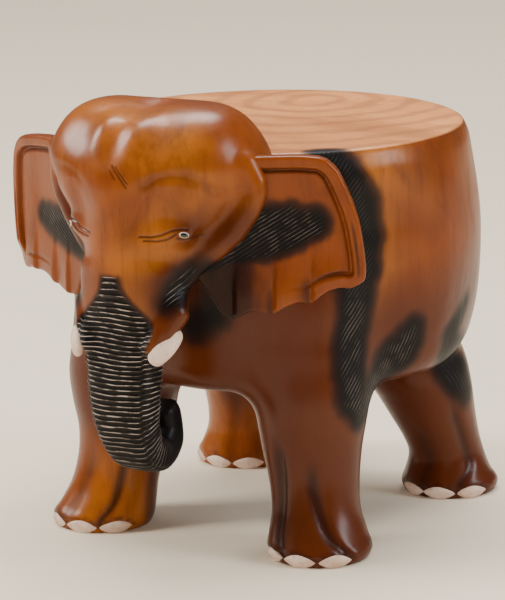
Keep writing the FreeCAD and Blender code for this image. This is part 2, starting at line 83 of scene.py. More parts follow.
def fade(value, low, high):
    """0 at low, 1 at high, smooth between. low may be the larger."""
    t = np.clip((value - low) / (high - low), 0.0, 1.0)
    return t * t * (3.0 - 2.0 * t)


def bell(value, middle, width):
    """1 in the middle, falling to about a third at width."""
    return np.exp(-((value - middle) / width) ** 2)


def curve(at, stations, values):
    """A smooth curve through a short table, flat beyond its ends."""
    xs = np.asarray(stations, float)
    ys = np.asarray(values, float)
    slopes = np.gradient(ys, xs)
    slopes[0] = slopes[-1] = 0.0
    at = np.clip(at, xs[0], xs[-1])
    i = np.clip(np.searchsorted(xs, at) - 1, 0, len(xs) - 2)
    span = xs[i + 1] - xs[i]
    t = (at - xs[i]) / span
    t2 = t * t
    t3 = t2 * t
    return (
        (2 * t3 - 3 * t2 + 1) * ys[i]
        + (t3 - 2 * t2 + t) * span * slopes[i]
        + (3 * t2 - 2 * t3) * ys[i + 1]
        + (t3 - t2) * span * slopes[i + 1]
    )


def from_table(table, column, height):
    """A column of a table at some heights. The first column holds the table's own heights."""
    return curve(height, [row[0] for row in table], [row[column] for row in table])


def ellipsoid(p, centre, radii):
    q = [(p[i] - centre[i]) / radii[i] for i in range(3)]
    k0 = np.sqrt(q[0] ** 2 + q[1] ** 2 + q[2] ** 2)
    k1 = np.sqrt(sum((q[i] / radii[i]) ** 2 for i in range(3)))
    return k0 * (k0 - 1.0) / np.maximum(k1, 1e-6)


def box_egg(p, centre, radii, power):
    """An ellipsoid that is squarer than a true one when power is over 2."""
    d = [p[i] - centre[i] for i in range(3)]
    s = sum(np.abs(d[i] / radii[i]) ** power for i in range(3)) ** (1.0 / power)
    rho = np.sqrt(d[0] ** 2 + d[1] ** 2 + d[2] ** 2)
    return rho * (1.0 - 1.0 / np.maximum(s, 1e-3))


def squarish(u, v, half_u, half_v, power):
    """Distance in a plane to an ellipse that is squarer than a true one when power is over 2."""
    s = (np.abs(u / half_u) ** power + np.abs(v / half_v) ** power) ** (1 / power)
    return np.hypot(u, v) * (1 - 1 / np.maximum(s, 1e-3))


def rod(p, start, end, start_radius, end_radius):
    """A rod between two points, with round ends and an even taper."""
    a = np.asarray(start, float)
    ab = np.asarray(end, float) - a
    d = [p[i] - a[i] for i in range(3)]
    t = np.clip((d[0] * ab[0] + d[1] * ab[1] + d[2] * ab[2]) / ab.dot(ab), 0.0, 1.0)
    gap = np.sqrt(sum((d[i] - t * ab[i]) ** 2 for i in range(3)))
    return gap - (start_radius + t * (end_radius - start_radius))


def rod_chain(p, points, radii):
    """Rods from point to point."""
    best = None
    for i in range(len(points) - 1):
        piece = rod(p, points[i], points[i + 1], radii[i], radii[i + 1])
        best = piece if best is None else np.minimum(best, piece)
    return best


def on_both_sides(p):
    """The same point on the left side, for what is alike on both sides."""
    return np.abs(p[0]), p[1], p[2]


# ==== The log ====

BARREL_RADIUS = 188.6
BARREL_WIDEST = 249.0
UPPER_CURVE = 485.0
LOWER_CURVE = 290.0
BELLY_HEIGHT = 138.0
LIP_DEPTH = 3.4
WAIST_DEPTH = 12.0

# Leg sections from the sole up: height, how far out the centre is, radius
FRONT_LEG = [
    (0, 1.00, 43.2), (8, 1.00, 46.0), (20, 0.97, 43.4), (40, 0.93, 39.2), (62, 0.89, 39.4),
    (88, 0.86, 43.0), (116, 0.86, 48.0), (145, 0.84, 53.0), (180, 0.77, 55.0), (215, 0.68, 50.0),
]
REAR_LEG = [
    (0, 1.00, 42.6), (8, 1.00, 45.0), (20, 0.99, 39.8), (36, 0.98, 35.2), (52, 0.95, 35.8),
    (72, 0.905, 39.8), (92, 0.86, 44.4), (112, 0.815, 48.5), (132, 0.80, 46.5), (152, 0.78, 42.0),
    (175, 0.74, 37.0), (200, 0.68, 30.0),
]

# Flutes carved down a leg: (degrees from straight ahead toward the left, height) from the top
# down, then depth and half width
FRONT_LEFT_FLUTES = [
    ([(-12, 96), (-17, 62), (-24, 30), (-20, 8)], 3.8, 7.0),
    ([(28, 76), (34, 44), (46, 22), (62, 9)], 3.4, 5.5),
]
FRONT_RIGHT_FLUTES = [
    ([(36, 84), (38, 52), (38, 28), (28, 9)], 3.2, 4.5),
    ([(-12, 70), (-14, 40), (-17, 10)], 1.8, 8.0),
]
REAR_LEFT_FLUTES = [
    ([(62, 84), (64, 50), (62, 28), (38, 9)], 2.6, 5.5),
    ([(2, 62), (-2, 34), (-8, 9)], 2.0, 7.0),
]
REAR_RIGHT_FLUTES = [
    ([(18, 74), (17, 40), (15, 9)], 2.0, 6.0),
    ([(60, 62), (58, 30), (57, 9)], 2.0, 6.0),
]

# Each leg's sections, its flutes, and the angle of each toenail in the same degrees
LEGS = {
    "front_left": (FRONT_LEG, FRONT_LEFT_FLUTES, (-39, 5, 48)),
    "front_right": (FRONT_LEG, FRONT_RIGHT_FLUTES, (-39, 5, 48)),
    "rear_left": (REAR_LEG, REAR_LEFT_FLUTES, (-27, 14, 57)),
    "rear_right": (REAR_LEG, REAR_RIGHT_FLUTES, (-48, -6, 36)),
}
NAIL_HEIGHT = 5.6
NAIL_HALF_WIDTH = 15.6
NAIL_HALF_HEIGHT = 6.2
# The toe's lobe under each nail
LOBE_HEIGHT = 1.3
LOBE_DEGREES = 17.0


def barrel_outline(z):
    """The barrel's radius at a height."""
    above = np.clip(z - BARREL_WIDEST, 0, 200)
    below = np.clip(BARREL_WIDEST - z, 0, 200)
    swell = UPPER_CURVE - np.sqrt(UPPER_CURVE ** 2 - above ** 2)
    tuck = LOWER_CURVE - np.sqrt(LOWER_CURVE ** 2 - below ** 2)
    lip = LIP_DEPTH * np.clip((z - 342) / 18, 0, 1.3) ** 2
    return BARREL_RADIUS - swell - tuck - lip


def barrel_field(p):
    x, y, z = p
    r = np.hypot(x, y)
    ahead = -y / np.maximum(r, 1.0)
    waist = WAIST_DEPTH * fade(ahead, 0.05, 0.50) * fade(z, 345, 285)
    side = (r - barrel_outline(z) + waist) * 0.97
    belly = BELLY_HEIGHT + 3.0 * (r / 150.0) ** 2 - z
    return soft_max(side, belly, 30.0)


def leg_polar(p, corner, table):
    """Distance from a leg's middle line, angle from straight ahead, and the leg's radius."""
    x, y, z = p
    foot_x, foot_y = foot_place(corner)
    reach = from_table(table, 1, z)
    radius = from_table(table, 2, z)
    dx = x - foot_x * reach
    dy = y - foot_y * reach
    return np.hypot(dx, dy), np.degrees(np.arctan2(dx, -dy)), radius


def flute_depth(angle, z, radius, flutes):
    """How deep the flutes cut at each point."""
    cut = np.zeros_like(z)
    for line, depth, half_width in flutes:
        heights = [height for _, height in line][::-1]
        angles = [turn for turn, _ in line][::-1]
        off = np.radians(angle - curve(z, heights, angles)) * radius
        along = fade(z, heights[-1] + 22, heights[-1] - 12) * fade(z, 1, 8)
        cut += depth * along * bell(off, 0, half_width)
    return cut


def nail_distance(angle, z, radius, nail_angle):
    """1 on the outline of a toenail, less inside. The lens has pointed ends."""
    across = np.radians(angle - nail_angle) * radius / NAIL_HALF_WIDTH
    up = (z - NAIL_HEIGHT) / NAIL_HALF_HEIGHT
    bend = np.abs(across) ** 1.7
    return bend + np.abs(up) ** 1.35 * (1 + 0.2 * bend)


def leg_field(p, corner):
    table, flutes, nails = LEGS[corner]
    rho, angle, radius = leg_polar(p, corner, table)
    z = p[2]
    cut = flute_depth(angle, z, radius, flutes)
    for nail_angle in nails:
        q = nail_distance(angle, z, radius, nail_angle)
        lobe = bell(angle, nail_angle, LOBE_DEGREES) * fade(z, 40, 14)
        groove = 1.1 * bell(q, 1.32, 0.24) * fade(z, 4.5, 7.5)
        cut += groove - LOBE_HEIGHT * lobe + 1.2 * fade(q, 1.18, 0.98)
    leg = (rho - radius + cut) * 0.93
    leg = soft_max(leg, -z, 3.0)
    return soft_max(leg, z - table[-1][0], 30.0)


def tail_field(p):
    """A relief tail down the rump, with a tuft."""
    stalk = rod_chain(
        p, [(0, 176, 322), (0, 186, 290), (0, 187, 240), (0, 184, 205)], [9, 8.5, 7, 6])
    tuft = ellipsoid(p, (0, 182, 190), (13, 10, 24))
    return soft_min(stalk, tuft, 8.0)


def log_field(p):
    x, y, z = p
    body = barrel_field(p)
    for corner in LEGS:
        fillet = 22.0 if corner.startswith("front") else 15.0
        body = soft_min(body, leg_field(p, corner), fillet)
    shoulder = ellipsoid(on_both_sides(p), (90, -92, 206), (46, 46, 66))
    neck = ellipsoid(p, (0, -146, 292), (98, 44, 64))
    body = joined(body, (shoulder, 30.0), (neck, 26.0), (tail_field(p), 5.0))
    wobble = (
        np.sin(x * 0.031 + 1.7) * np.sin(y * 0.027 + 0.4) * np.sin(z * 0.035 + 2.2)
        + 0.6 * np.sin(x * 0.061 + y * 0.043 + 0.8) * np.sin(z * 0.072 + x * 0.021)
    )
    body = body + 0.7 * wobble * fade(z, 6, 40)
    return soft_max(body, z - SEAT_HEIGHT, 3.2)


# ==== Head and trunk ====

# The plane where the head is glued to the log
NECK_FLAT_Y = -173.5
SEAT_RADIUS = 172.8

# Face sections from the jaw up: height, front, half width, half depth
FACE = [
    (226, -258, 40, 20), (240, -260, 44, 25), (254, -261, 46.5, 33), (268, -261, 51, 42),
    (284, -260, 57, 56), (300, -260, 68, 68), (320, -260, 79, 76), (340, -259, 87, 79),
    (362, -256, 91, 79),
]

FACE_SKEW = 7.0

# Trunk from its root to its tip: y, height, half width, half depth
TRUNK = [
    (-232, 268, 41, 24), (-236, 240, 39.5, 23), (-238.5, 212, 36, 21.5), (-240, 184, 33, 20.2),
    (-240.5, 156, 31, 19.2), (-236, 130, 27.5, 18), (-222, 107, 24, 17.2),
    (-199, 100, 21, 16.3), (-182, 116, 18, 15.3), (-187, 139, 15.5, 12.5),
]
TRUNK_STEPS = 9
TRUNK_LEAN = 5.0
RING_PITCH = 4.3
SMOOTH_END = 62.0


def trunk_line():
    """Rows like the table's, closer together, and how far along the trunk each one is."""
    rows = np.asarray(TRUNK, float)
    stations = np.concatenate(
        [[0.0], np.cumsum(np.hypot(np.diff(rows[:, 0]), np.diff(rows[:, 1])))])
    at = np.linspace(0, stations[-1], (len(rows) - 1) * TRUNK_STEPS + 1)
    fine = np.stack([curve(at, stations, rows[:, i]) for i in range(4)], axis=1)
    return fine, at


TRUNK_POINTS, TRUNK_LENGTHS = trunk_line()


def trunk_polar(p):
    """Length along the trunk, distance forward of its middle line, half width, half depth."""
    _, y, z = p
    best = np.full(np.shape(y), 1e9)
    along, forward, wide, deep = (np.zeros(np.shape(y)) for _ in range(4))
    for i, (a, b) in enumerate(zip(TRUNK_POINTS, TRUNK_POINTS[1:])):
        ey, ez = b[0] - a[0], b[1] - a[1]
        length = math.hypot(ey, ez)
        t = ((y - a[0]) * ey + (z - a[1]) * ez) / length ** 2
        low = -40.0 / length if i == 0 else 0.0
        high = 1.0 + 16.0 / length if i == len(TRUNK_POINTS) - 2 else 1.0
        t = np.clip(t, low, high)
        oy = y - a[0] - t * ey
        oz = z - a[1] - t * ez
        gap = oy * oy + oz * oz
        near = gap < best
        best = np.where(near, gap, best)
        along = np.where(near, TRUNK_LENGTHS[i] + t * length, along)
        side = (oy * ez - oz * ey) / length
        forward = np.where(near, side, forward)
        tc = np.clip(t, 0, 1)
        wide = np.where(near, a[2] + tc * (b[2] - a[2]), wide)
        deep = np.where(near, a[3] + tc * (b[3] - a[3]), deep)
    return along, forward, wide, deep


def trunk_side(x, z):
    """Distance from the trunk's middle. Below the tusks it leans to the elephant's right."""
    return x + TRUNK_LEAN * fade(z, 250, 190)


def trunk_field(p):
    along, forward, wide, deep = trunk_polar(p)
    shell = squarish(trunk_side(p[0], p[2]), forward, wide, deep, 3.4) * 0.9
    shell = soft_max(shell, along - TRUNK_LENGTHS[-1], 12.0)
    return soft_max(shell, -along, 6.0)


def face_field(p):
    x, y, z = p
    front, wide, deep = (from_table(FACE, column, z) for column in (1, 2, 3))
    dy = y - front - deep
    side = squarish(x, dy, wide, deep, 2.35) * 0.85
    side = soft_max(side, FACE[0][0] - z, 14.0)
    return soft_max(side, z - FACE[-1][0], 30.0)


def half_face(x, z):
    """Distance from the face's middle. The right half is carved a little narrower."""
    return np.abs(x) + FACE_SKEW * fade(x, 0, -60) * fade(z, 366, 340)


def head_field(p):
    x, y, z = p
    both = (half_face(x, z), y, z)
    skull = box_egg(p, (0, -182, 352), (93, 76, 49), 2.25)
    dome = box_egg(both, (43, -185, 361), (48, 55, 45), 2.25)
    bridge = rod_chain(both, [(0, -232, 378), (0, -236, 330), (0, -237, 262)], [24, 25, 24])
    head = joined(face_field(both), (skull, 22.0), (dome, 14.0), (bridge, 20.0))
    groove = rod_chain(both, [(0, -150, 434), (0, -200, 427), (0, -243, 408), (0, -268, 374)],
                       [9, 10, 12, 4])
    head = soft_max(head, -groove, 20.0)
    saddle = ellipsoid(p, (0, -172, 360), (54, 22, 46))
    head = soft_min(head, saddle, 10.0)
    # Hollow round the eye under the brow, shallower on the right, and the temple's behind it
    orbit = ellipsoid(both, (46, -274, 322), (20, 20, 20)) + 7 * fade(x, -5, -30)
    head = soft_max(head, -orbit, 22.0)
    temple = ellipsoid(on_both_sides(p), (108, -244, 316), (21, 28, 32))
    head = soft_max(head, -temple, 28.0)
    lid = ellipsoid(both, (48, -237, 304), (15, 9, 7))
    # The fold of skin that runs from the ear's root down along the jaw
    fold = rod_chain(
        both,
        [(96, -197, 360), (102, -195, 345), (103, -195, 335), (96, -197, 320), (84, -200, 303),
         (67, -207, 286), (52, -214, 270), (42, -222, 254)],
        [8, 9, 9, 10, 11, 11, 9, 6],
    )
    # The sheath of each tusk
    sheath = rod_chain(both, [(38, -228, 246), (46, -238, 234), (41, -248, 220), (33, -257, 207)],
                       [13, 12.5, 10.5, 7.5])
    chin = ellipsoid(both, (0, -206, 232), (30, 20, 17))
    head = joined(head, (lid, 13.0), (fold, 12.0), (trunk_field(p), 12.0), (sheath, 8.0),
                  (chin, 12.0))
    wobble = np.sin(x * 0.043 + 0.6) * np.sin(y * 0.037 + 1.1) * np.sin(z * 0.041 + 0.5)
    head = head + 0.6 * wobble
    # The glued face on the log. Above it the back of the head follows the seat's round edge
    beside_seat = np.maximum(SEAT_RADIUS - np.hypot(x, y), 350 - z)
    back = np.minimum(y - NECK_FLAT_Y, beside_seat)
    return soft_max(head, back, 5.0)


# ==== Ears ====
# They are drawn in their own plane: s out from the root line, z up, off it toward the front

EAR_ROOT = (106.0, -186.0)
EAR_TURN = math.radians(27.6)

EAR_OUTLINES = {
    "left": [
        (-30, 366), (0, 366.5), (30, 367), (50, 365), (61, 355), (67.5, 341), (74, 325),
        (79, 308), (82, 289), (84, 270), (83.5, 259), (77, 254), (70, 251.5), (62, 253),
        (52, 251), (44, 246), (36, 238), (28, 241.5), (18, 238.5), (11, 235), (4, 229.5),
        (-4, 232.5), (-14, 233.5), (-22, 230), (-30, 226.5), (-36, 227), (-41, 234), (-46, 244),
        (-60, 262), (-72, 290), (-66, 330),
    ],
    "right": [
        (-30, 367), (8, 367), (44, 363), (58, 359), (68, 353), (75, 343), (78.5, 322),
        (77.5, 290), (74, 266), (67, 246), (60, 240), (50, 241.5), (42, 244), (32, 242.5),
        (20, 243), (8, 241), (-3, 236), (-14, 234), (-26, 232), (-36, 231), (-43, 236),
        (-48, 246), (-60, 262), (-72, 290), (-66, 330),
    ],
}
# Where the folds of each ear start, out from the root line, with the height of the edge there
EAR_FOLDS = {
    "left": [(-30, 228), (4, 231), (36, 240), (70, 250)],
    "right": [(-30, 230), (-6, 235), (30, 242), (62, 242)],
}
EAR_FOLD_HEIGHT = {"left": 8.5, "right": 3.5}
EAR_HALF_THICKNESS = 5.0


def ear_frame(p):
    """A left ear's own coordinates: out from the root line, up, and off toward the front."""
    c, s = math.cos(EAR_TURN), math.sin(EAR_TURN)
    dx = p[0] - EAR_ROOT[0]
    dy = p[1] - EAR_ROOT[1]
    return dx * c + dy * s, p[2], dx * s - dy * c


def line_gap(u, v, line):
    """Distance in a plane to a line of points."""
    best = np.full(np.shape(u), 1e9)
    for (u0, v0), (u1, v1) in zip(line, line[1:]):
        eu, ev = u1 - u0, v1 - v0
        t = np.clip(((u - u0) * eu + (v - v0) * ev) / (eu * eu + ev * ev), 0, 1)
        best = np.minimum(best, (u - u0 - t * eu) ** 2 + (v - v0 - t * ev) ** 2)
    return np.sqrt(best)


def outline_distance(s, z, outline):
    """Signed distance in the plane to a closed outline."""
    closed = [*outline, outline[0]]
    inside = np.zeros(np.shape(s), bool)
    for (s0, z0), (s1, z1) in zip(closed, closed[1:]):
        if z1 != z0:
            crosses = (z0 > z) != (z1 > z)
            inside ^= crosses & (s < s0 + (z - z0) * (s1 - s0) / (z1 - z0))
    gap = line_gap(s, z, closed)
    return np.where(inside, -gap, gap)


def rounded_outline(outline):
    """Cuts the corners of a closed outline, so that it is smooth."""
    points = np.asarray(outline, float)
    after = np.roll(points, -1, axis=0)
    points = np.stack([0.8 * points + 0.2 * after, 0.2 * points + 0.8 * after], axis=1)
    return [tuple(point) for point in points.reshape(-1, 2)]


EAR_EDGES = {side: rounded_outline(outline) for side, outline in EAR_OUTLINES.items()}


def ear_rim_zone(s, z):
    """1 where the ear has a raised rim, 0 along its scalloped lower edge and its root."""
    return fade(z, 250, 266) * fade(s, -22, -6)


def second_line(inside, z):
    """The fine line along the outer half of the rim."""
    return bell(inside, 6.0, 1.1) * fade(z, 318, 300) * fade(z, 258, 268)


def ear_flare(s):
    """How far the ear's outer edge bends back."""
    return -4.0 * fade(s, 40, 84)


def ear_front(s, z, edge, side):
    """How far the ear's front stands off the ear's plane."""
    inside = -edge
    rim = 3.6 * fade(inside, 12.0, 9.0)
    line = -1.9 * bell(inside, 12.4, 1.5)
    front = ear_rim_zone(s, z) * (rim + line - 1.3 * second_line(inside, z))
    hollow = -2.6 * np.exp(-(((s - 30) / 36) ** 2 + ((z - 318) / 40) ** 2))
    fold_zone = fade(z, 284, 244)
    folds = np.zeros_like(s)
    starts = [place for place, _ in EAR_FOLDS[side]]
    for i in range(len(starts) - 1):
        t = (s - starts[i]) / (starts[i + 1] - starts[i])
        wave = np.where((t >= 0) & (t < 1), fade(t, 0.0, 0.2) * (1 - t), 0.0)
        folds = folds + EAR_FOLD_HEIGHT[side] * wave
    return front + hollow + fold_zone * folds + ear_flare(s)


def ear_field(p, side):
    """An ear on the left side. The right one has its own outline and is turned over later."""
    s, z, off = ear_frame(p)
    edge = outline_distance(s, z, EAR_EDGES[side])
    front = ear_front(s, z, edge, side)
    thick = EAR_HALF_THICKNESS * 2 + 9.0 * fade(s, 8, -40)
    back = thick - EAR_HALF_THICKNESS
    slab = np.maximum(off - EAR_HALF_THICKNESS - front, -(off - ear_flare(s)) - back)
    return soft_max(slab, edge, 3.6)


# ==== From fields to meshes ====

CORNERS = [(i, j, k) for i in (0, 1) for j in (0, 1) for k in (0, 1)]


def field_net(field, low, high, step):
    """A surface net: one corner in each cell that the surface crosses, and quads between."""
    axes = [np.arange(a, b + step, step) for a, b in zip(low, high)]
    value = field(np.meshgrid(*axes, indexing="ij"))
    inside = value < 0
    cells = tuple(n - 1 for n in value.shape)
    mixed = np.zeros(cells, bool)
    first = inside[:-1, :-1, :-1]
    for i, j, k in CORNERS[1:]:
        mixed |= first != inside[i:i + cells[0], j:j + cells[1], k:k + cells[2]]
    place = np.argwhere(mixed)
    number = np.full(cells, -1, np.int64)
    number[tuple(place.T)] = np.arange(len(place))
    total = np.zeros((len(place), 3))
    count = np.zeros(len(place))
    for a in CORNERS:
        for axis in range(3):
            if a[axis]:
                continue
            b = list(a)
            b[axis] = 1
            va = value[tuple((place + a).T)]
            vb = value[tuple((place + b).T)]
            cross = (va < 0) != (vb < 0)
            t = np.where(cross, va / np.where(cross, va - vb, 1.0), 0.0)
            point = np.repeat(np.asarray(a, float)[None], len(place), 0)
            point[:, axis] = t
            total[cross] += point[cross]
            count[cross] += 1
    corner = place + total / count[:, None]
    points = np.asarray(low, float) + corner * step
    quads = []
    for axis in range(3):
        u, v = (axis + 1) % 3, (axis + 2) % 3
        lead = [slice(None)] * 3
        tail = [slice(None)] * 3
        lead[axis] = slice(0, -1)
        tail[axis] = slice(1, None)
        flips = inside[tuple(lead)] != inside[tuple(tail)]
        edges = np.argwhere(flips)
        keep = (edges[:, u] > 0) & (edges[:, v] > 0)
        keep &= (edges[:, u] < cells[u]) & (edges[:, v] < cells[v])
        edges = edges[keep]
        ring = []
        for du, dv in ((1, 1), (0, 1), (0, 0), (1, 0)):
            cell = edges.copy()
            cell[:, u] -= du
            cell[:, v] -= dv
            ring.append(number[tuple(cell.T)])
        ring = np.stack(ring, axis=1)
        turned = ~inside[tuple(edges.T)]
        ring[turned] = ring[turned][:, ::-1]
        quads.append(ring)
    return points, np.concatenate(quads)


def field_slope(field, points, reach=0.35):
    """The field and its gradient at points, one row each."""
    value = field(tuple(points.T))
    slope = np.empty_like(points)
    for axis in range(3):
        step = np.zeros(3)
        step[axis] = reach
        slope[:, axis] = field(tuple((points + step).T)) - field(tuple((points - step).T))
    return value, slope / (2 * reach)


def settle(field, points, limit):
    """Moves points on to the surface along the gradient."""
    value, slope = field_slope(field, points)
    size = np.maximum((slope ** 2).sum(1), 0.05)
    move = -(value / size)[:, None] * slope
    length = np.linalg.norm(move, axis=1)
    move *= np.minimum(1.0, limit / np.maximum(length, 1e-9))[:, None]
    return points + move


def even_out(points, quads, amount):
    """Moves each point toward the middle of its neighbours."""
    total = np.zeros_like(points)
    count = np.zeros(len(points))
    for i in range(4):
        a, b = quads[:, i], quads[:, (i + 1) % 4]
        for axis in range(3):
            total[:, axis] += np.bincount(a, points[b, axis], len(points))
            total[:, axis] += np.bincount(b, points[a, axis], len(points))
        count += np.bincount(a, minlength=len(points)) + np.bincount(b, minlength=len(points))
    middle = total / np.maximum(count, 1)[:, None]
    return points + amount * (middle - points)


def carve(field, low, high, step):
    """An even mesh of a field's surface."""
    points, quads = field_net(field, low, high, step)
    for _ in range(3):
        points = even_out(points, quads, 0.6)
        points = settle(field, points, step)
    return points, quads


def outward(field, points):
    """Unit vectors square to the surface at points."""
    _, slope = field_slope(field, points)
    return slope / np.maximum(np.linalg.norm(slope, axis=1), 1e-6)[:, None]


def carved_mesh(name, points, faces):
    """A Blender mesh in millimetres round the seat's axis. It is moved and scaled when done."""
    mesh = bpy.data.meshes.new(name)
    mesh.from_pydata(np.asarray(points).tolist(), [], [list(face) for face in faces])
    return mesh


def read_points(mesh):
    flat = np.empty(len(mesh.vertices) * 3)
    mesh.vertices.foreach_get("co", flat)
    return flat.reshape(-1, 3)


def write_points(mesh, points):
    mesh.vertices.foreach_set("co", np.asarray(points).ravel())
    mesh.update()


def refine(mesh, weight, cuts):
    """Cuts the faces whose corners have a weight over 0 into smaller ones."""
    marked = weight > 0
    form = bmesh.new()
    form.from_mesh(mesh)
    form.verts.ensure_lookup_table()
    edges = set()
    for face in form.faces:
        if any(marked[corner.index] for corner in face.verts):
            edges.update(face.edges)
    bmesh.ops.subdivide_edges(form, edges=list(edges), cuts=cuts, use_grid_fill=True)
    form.to_mesh(mesh)
    form.free()


def finish_piece(name, mesh, node, material, marks=None):
    """The mesh in metres, in the part's own frame, standing for its CAD node."""
    for mark, values in (marks or {}).items():
        layer = mesh.attributes.new(mark, "FLOAT", "POINT")
        layer.data.foreach_set("value", np.asarray(values, np.float32))
    write_points(mesh, (read_points(mesh) + np.array([0.0, SEAT_AXIS_Y, 0.0])) * MM)
    mesh.validate()
    mesh.shade_smooth()
    mesh.materials.append(material)
    piece = bpy.data.objects.new(name, mesh)
    bpy.context.scene.collection.objects.link(piece)
    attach(piece, "root")
    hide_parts(node)


def cracked(points, scale, seed):
    """Smooth noise from -1 to 1, made of a few waves."""
    rng = np.random.default_rng(seed)
    total = np.zeros(len(points))
    for octave in range(3):
        for _ in range(4):
            way = rng.normal(size=3)
            way /= np.linalg.norm(way)
            turn = 2 * math.pi * 2 ** octave / scale
            total += np.sin(points @ way * turn + rng.uniform(0, 6.3)) * 0.62 ** octave
    return np.clip(total / 4.0, -1, 1)


# ==== Burnt patches, carved strokes and painted shade ====

# Each burnt patch is a line of soft spots: degrees from straight ahead, distance out from the
# seat's axis, height, radius of the spot
BAND = [
    (45, 175, 372, 11), (49.5, 182, 340, 18), (53.5, 186, 308, 24), (54.5, 188, 282, 26),
    (55, 187, 258, 22), (55, 184, 236, 14), (54, 181, 213, 12), (52.5, 180, 188, 12),
    (52, 180, 163, 12), (52.5, 180, 144, 13), (55.5, 178, 131, 10),
]
LOBE = [
    (57, 178, 124, 7), (60, 174, 136, 11), (63.5, 172, 148, 15), (67, 175, 160, 18),
    (70, 178, 172, 17), (72.5, 180, 184, 13), (74, 181, 194, 8),
]
CREASE = [
    (98, 184, 205, 3), (95, 182, 192, 7), (92, 180, 180, 10), (93, 175, 167, 13),
    (104, 160, 154, 15), (118, 163, 138, 17), (124, 169, 119, 15), (128, 176, 102, 9),
]
# Burn and painted shadow in the hollow between jaw and chest, in x, y, z and radius
THROAT = [
    (64, -210, 266, 12), (54, -192, 240, 13), (42, -178, 218, 11), (24, -174, 204, 8),
]
# Burnt patch on the cheek beside the trunk's root
CHEEK = [
    (62, -230, 268, 11), (56, -234, 261, 13), (49, -240, 254, 11), (44, -244, 246, 8),
    (42, -242, 237, 4),
]


def round_the_axis(row):
    degrees, out, height, radius = row
    turn = math.radians(degrees)
    return out * math.sin(turn), -out * math.cos(turn), height, radius


def patch_gap(points, rows):
    """Distance outside a burnt patch on either side, negative within it."""
    return rod_chain(on_both_sides(points.T), [row[:3] for row in rows], [row[3] for row in rows])


def strokes(u, z, steepness, pitch):
    """A number that grows by one from each carved stroke to the next."""
    turn = math.radians(steepness)
    return (z * math.cos(turn) - u * math.sin(turn)) / pitch


def ridge_shape(phase):
    """1 along the middle of each carved groove, 0 on the ridge between two."""
    return 0.5 + 0.5 * np.cos(2 * math.pi * phase)


def log_burns_and_throat_shade(points):
    """Burn with painted shadow under the jaw, stroke number and stroke strength on the log."""
    band, lobe, crease = (patch_gap(points, [round_the_axis(row) for row in rows])
                          for rows in (BAND, LOBE, CREASE))
    throat = patch_gap(points, THROAT)
    x, y, z = points.T
    u = np.degrees(np.arctan2(np.abs(x), -y)) * 3.2
    rough = cracked(points, 46, 3)
    slant = z + 1.4 * rough
    phase = strokes(u, slant, 52, 3.4)
    phase = np.where(lobe < band, strokes(u, slant, 74, 3.4), phase)
    phase = np.where(crease < np.minimum(band, lobe), strokes(u, slant, 112, 3.2), phase)
    carved = np.minimum(np.minimum(band, lobe), crease)
    edge = carved + 1.5 * rough
    burn_and_painted_shade = fade(edge, 17.0, -5.0)
    hatch = fade(edge, 2.0, -9.0)
    hatch *= 1.0 - 0.75 * fade(crease - np.minimum(band, lobe), 0, -4)
    # Painted shadow, with some burn, in the hollow between jaw and chest
    burn_and_painted_shade = np.maximum(burn_and_painted_shade, 0.95 * fade(throat + 2 * rough, 22, -8))
    return burn_and_painted_shade, phase, hatch


def leg_groove_shade(points):
    """Painted shade in the flutes of the legs and round the toenails."""
    painted_groove_shade = np.zeros(len(points))
    z = points[:, 2]
    for corner, (table, flutes, nails) in LEGS.items():
        rho, angle, radius = leg_polar(points.T, corner, table)
        near = (rho < radius + 14) & (z < 150)
        cut = flute_depth(angle, z, radius, flutes) / 2.8
        for nail_angle in nails:
            q = nail_distance(angle, z, radius, nail_angle)
            edge = bell(q, 1.38, 0.3) * fade(z, 4, 8)
            cut = np.maximum(cut, 0.9 * edge)
        painted_groove_shade = np.maximum(painted_groove_shade, np.where(near, cut, 0.0))
    return np.clip(painted_groove_shade, 0, 1)


def log_marks(points):
    """What the log's material reads at each point, and how deep the strokes are cut."""
    burn_and_painted_shade, phase, hatch = log_burns_and_throat_shade(points)
    painted_groove_shade = 0.95 * leg_groove_shade(points)
    x, y, z = points.T
    # Painted shade: darker on the chest and fronts of the legs, under the belly, and on the left
    # side lower down, with random mottling
    ahead = -y / np.maximum(np.hypot(x, y), 1)
    shade = 0.95 * fade(ahead, 0.3, 0.75) * fade(z, 330, 250) * fade(z, 40, 120)
    shade = np.maximum(shade, 0.30 + 0.35 * cracked(points, 130, 21))
    shade = np.maximum(shade, fade(np.hypot(x, y), 150, 120) * fade(z, 175, 140))
    shade = np.maximum(shade, (0.1 + 0.85 * fade(x, -40, 40)) * fade(z, 310, 190))
    # Painted light: the right rear leg is painted lighter, with less painted shade in its grooves
    painted_light_rear_leg = fade(x, -20, -60) * fade(y, 60, 105) * fade(z, 150, 105)
    shade *= 1 - 0.8 * painted_light_rear_leg
    painted_groove_shade *= 1 - 0.7 * painted_light_rear_leg
    rub = 0.10 + 0.22 * fade(z, 255, 200)
    marks = {"burn_and_painted_shade": burn_and_painted_shade, "phase": phase, "hatch": hatch, "painted_groove_shade": painted_groove_shade, "shade": shade,
             "rub": rub}
    return marks, 0.18 * hatch * ridge_shape(phase)


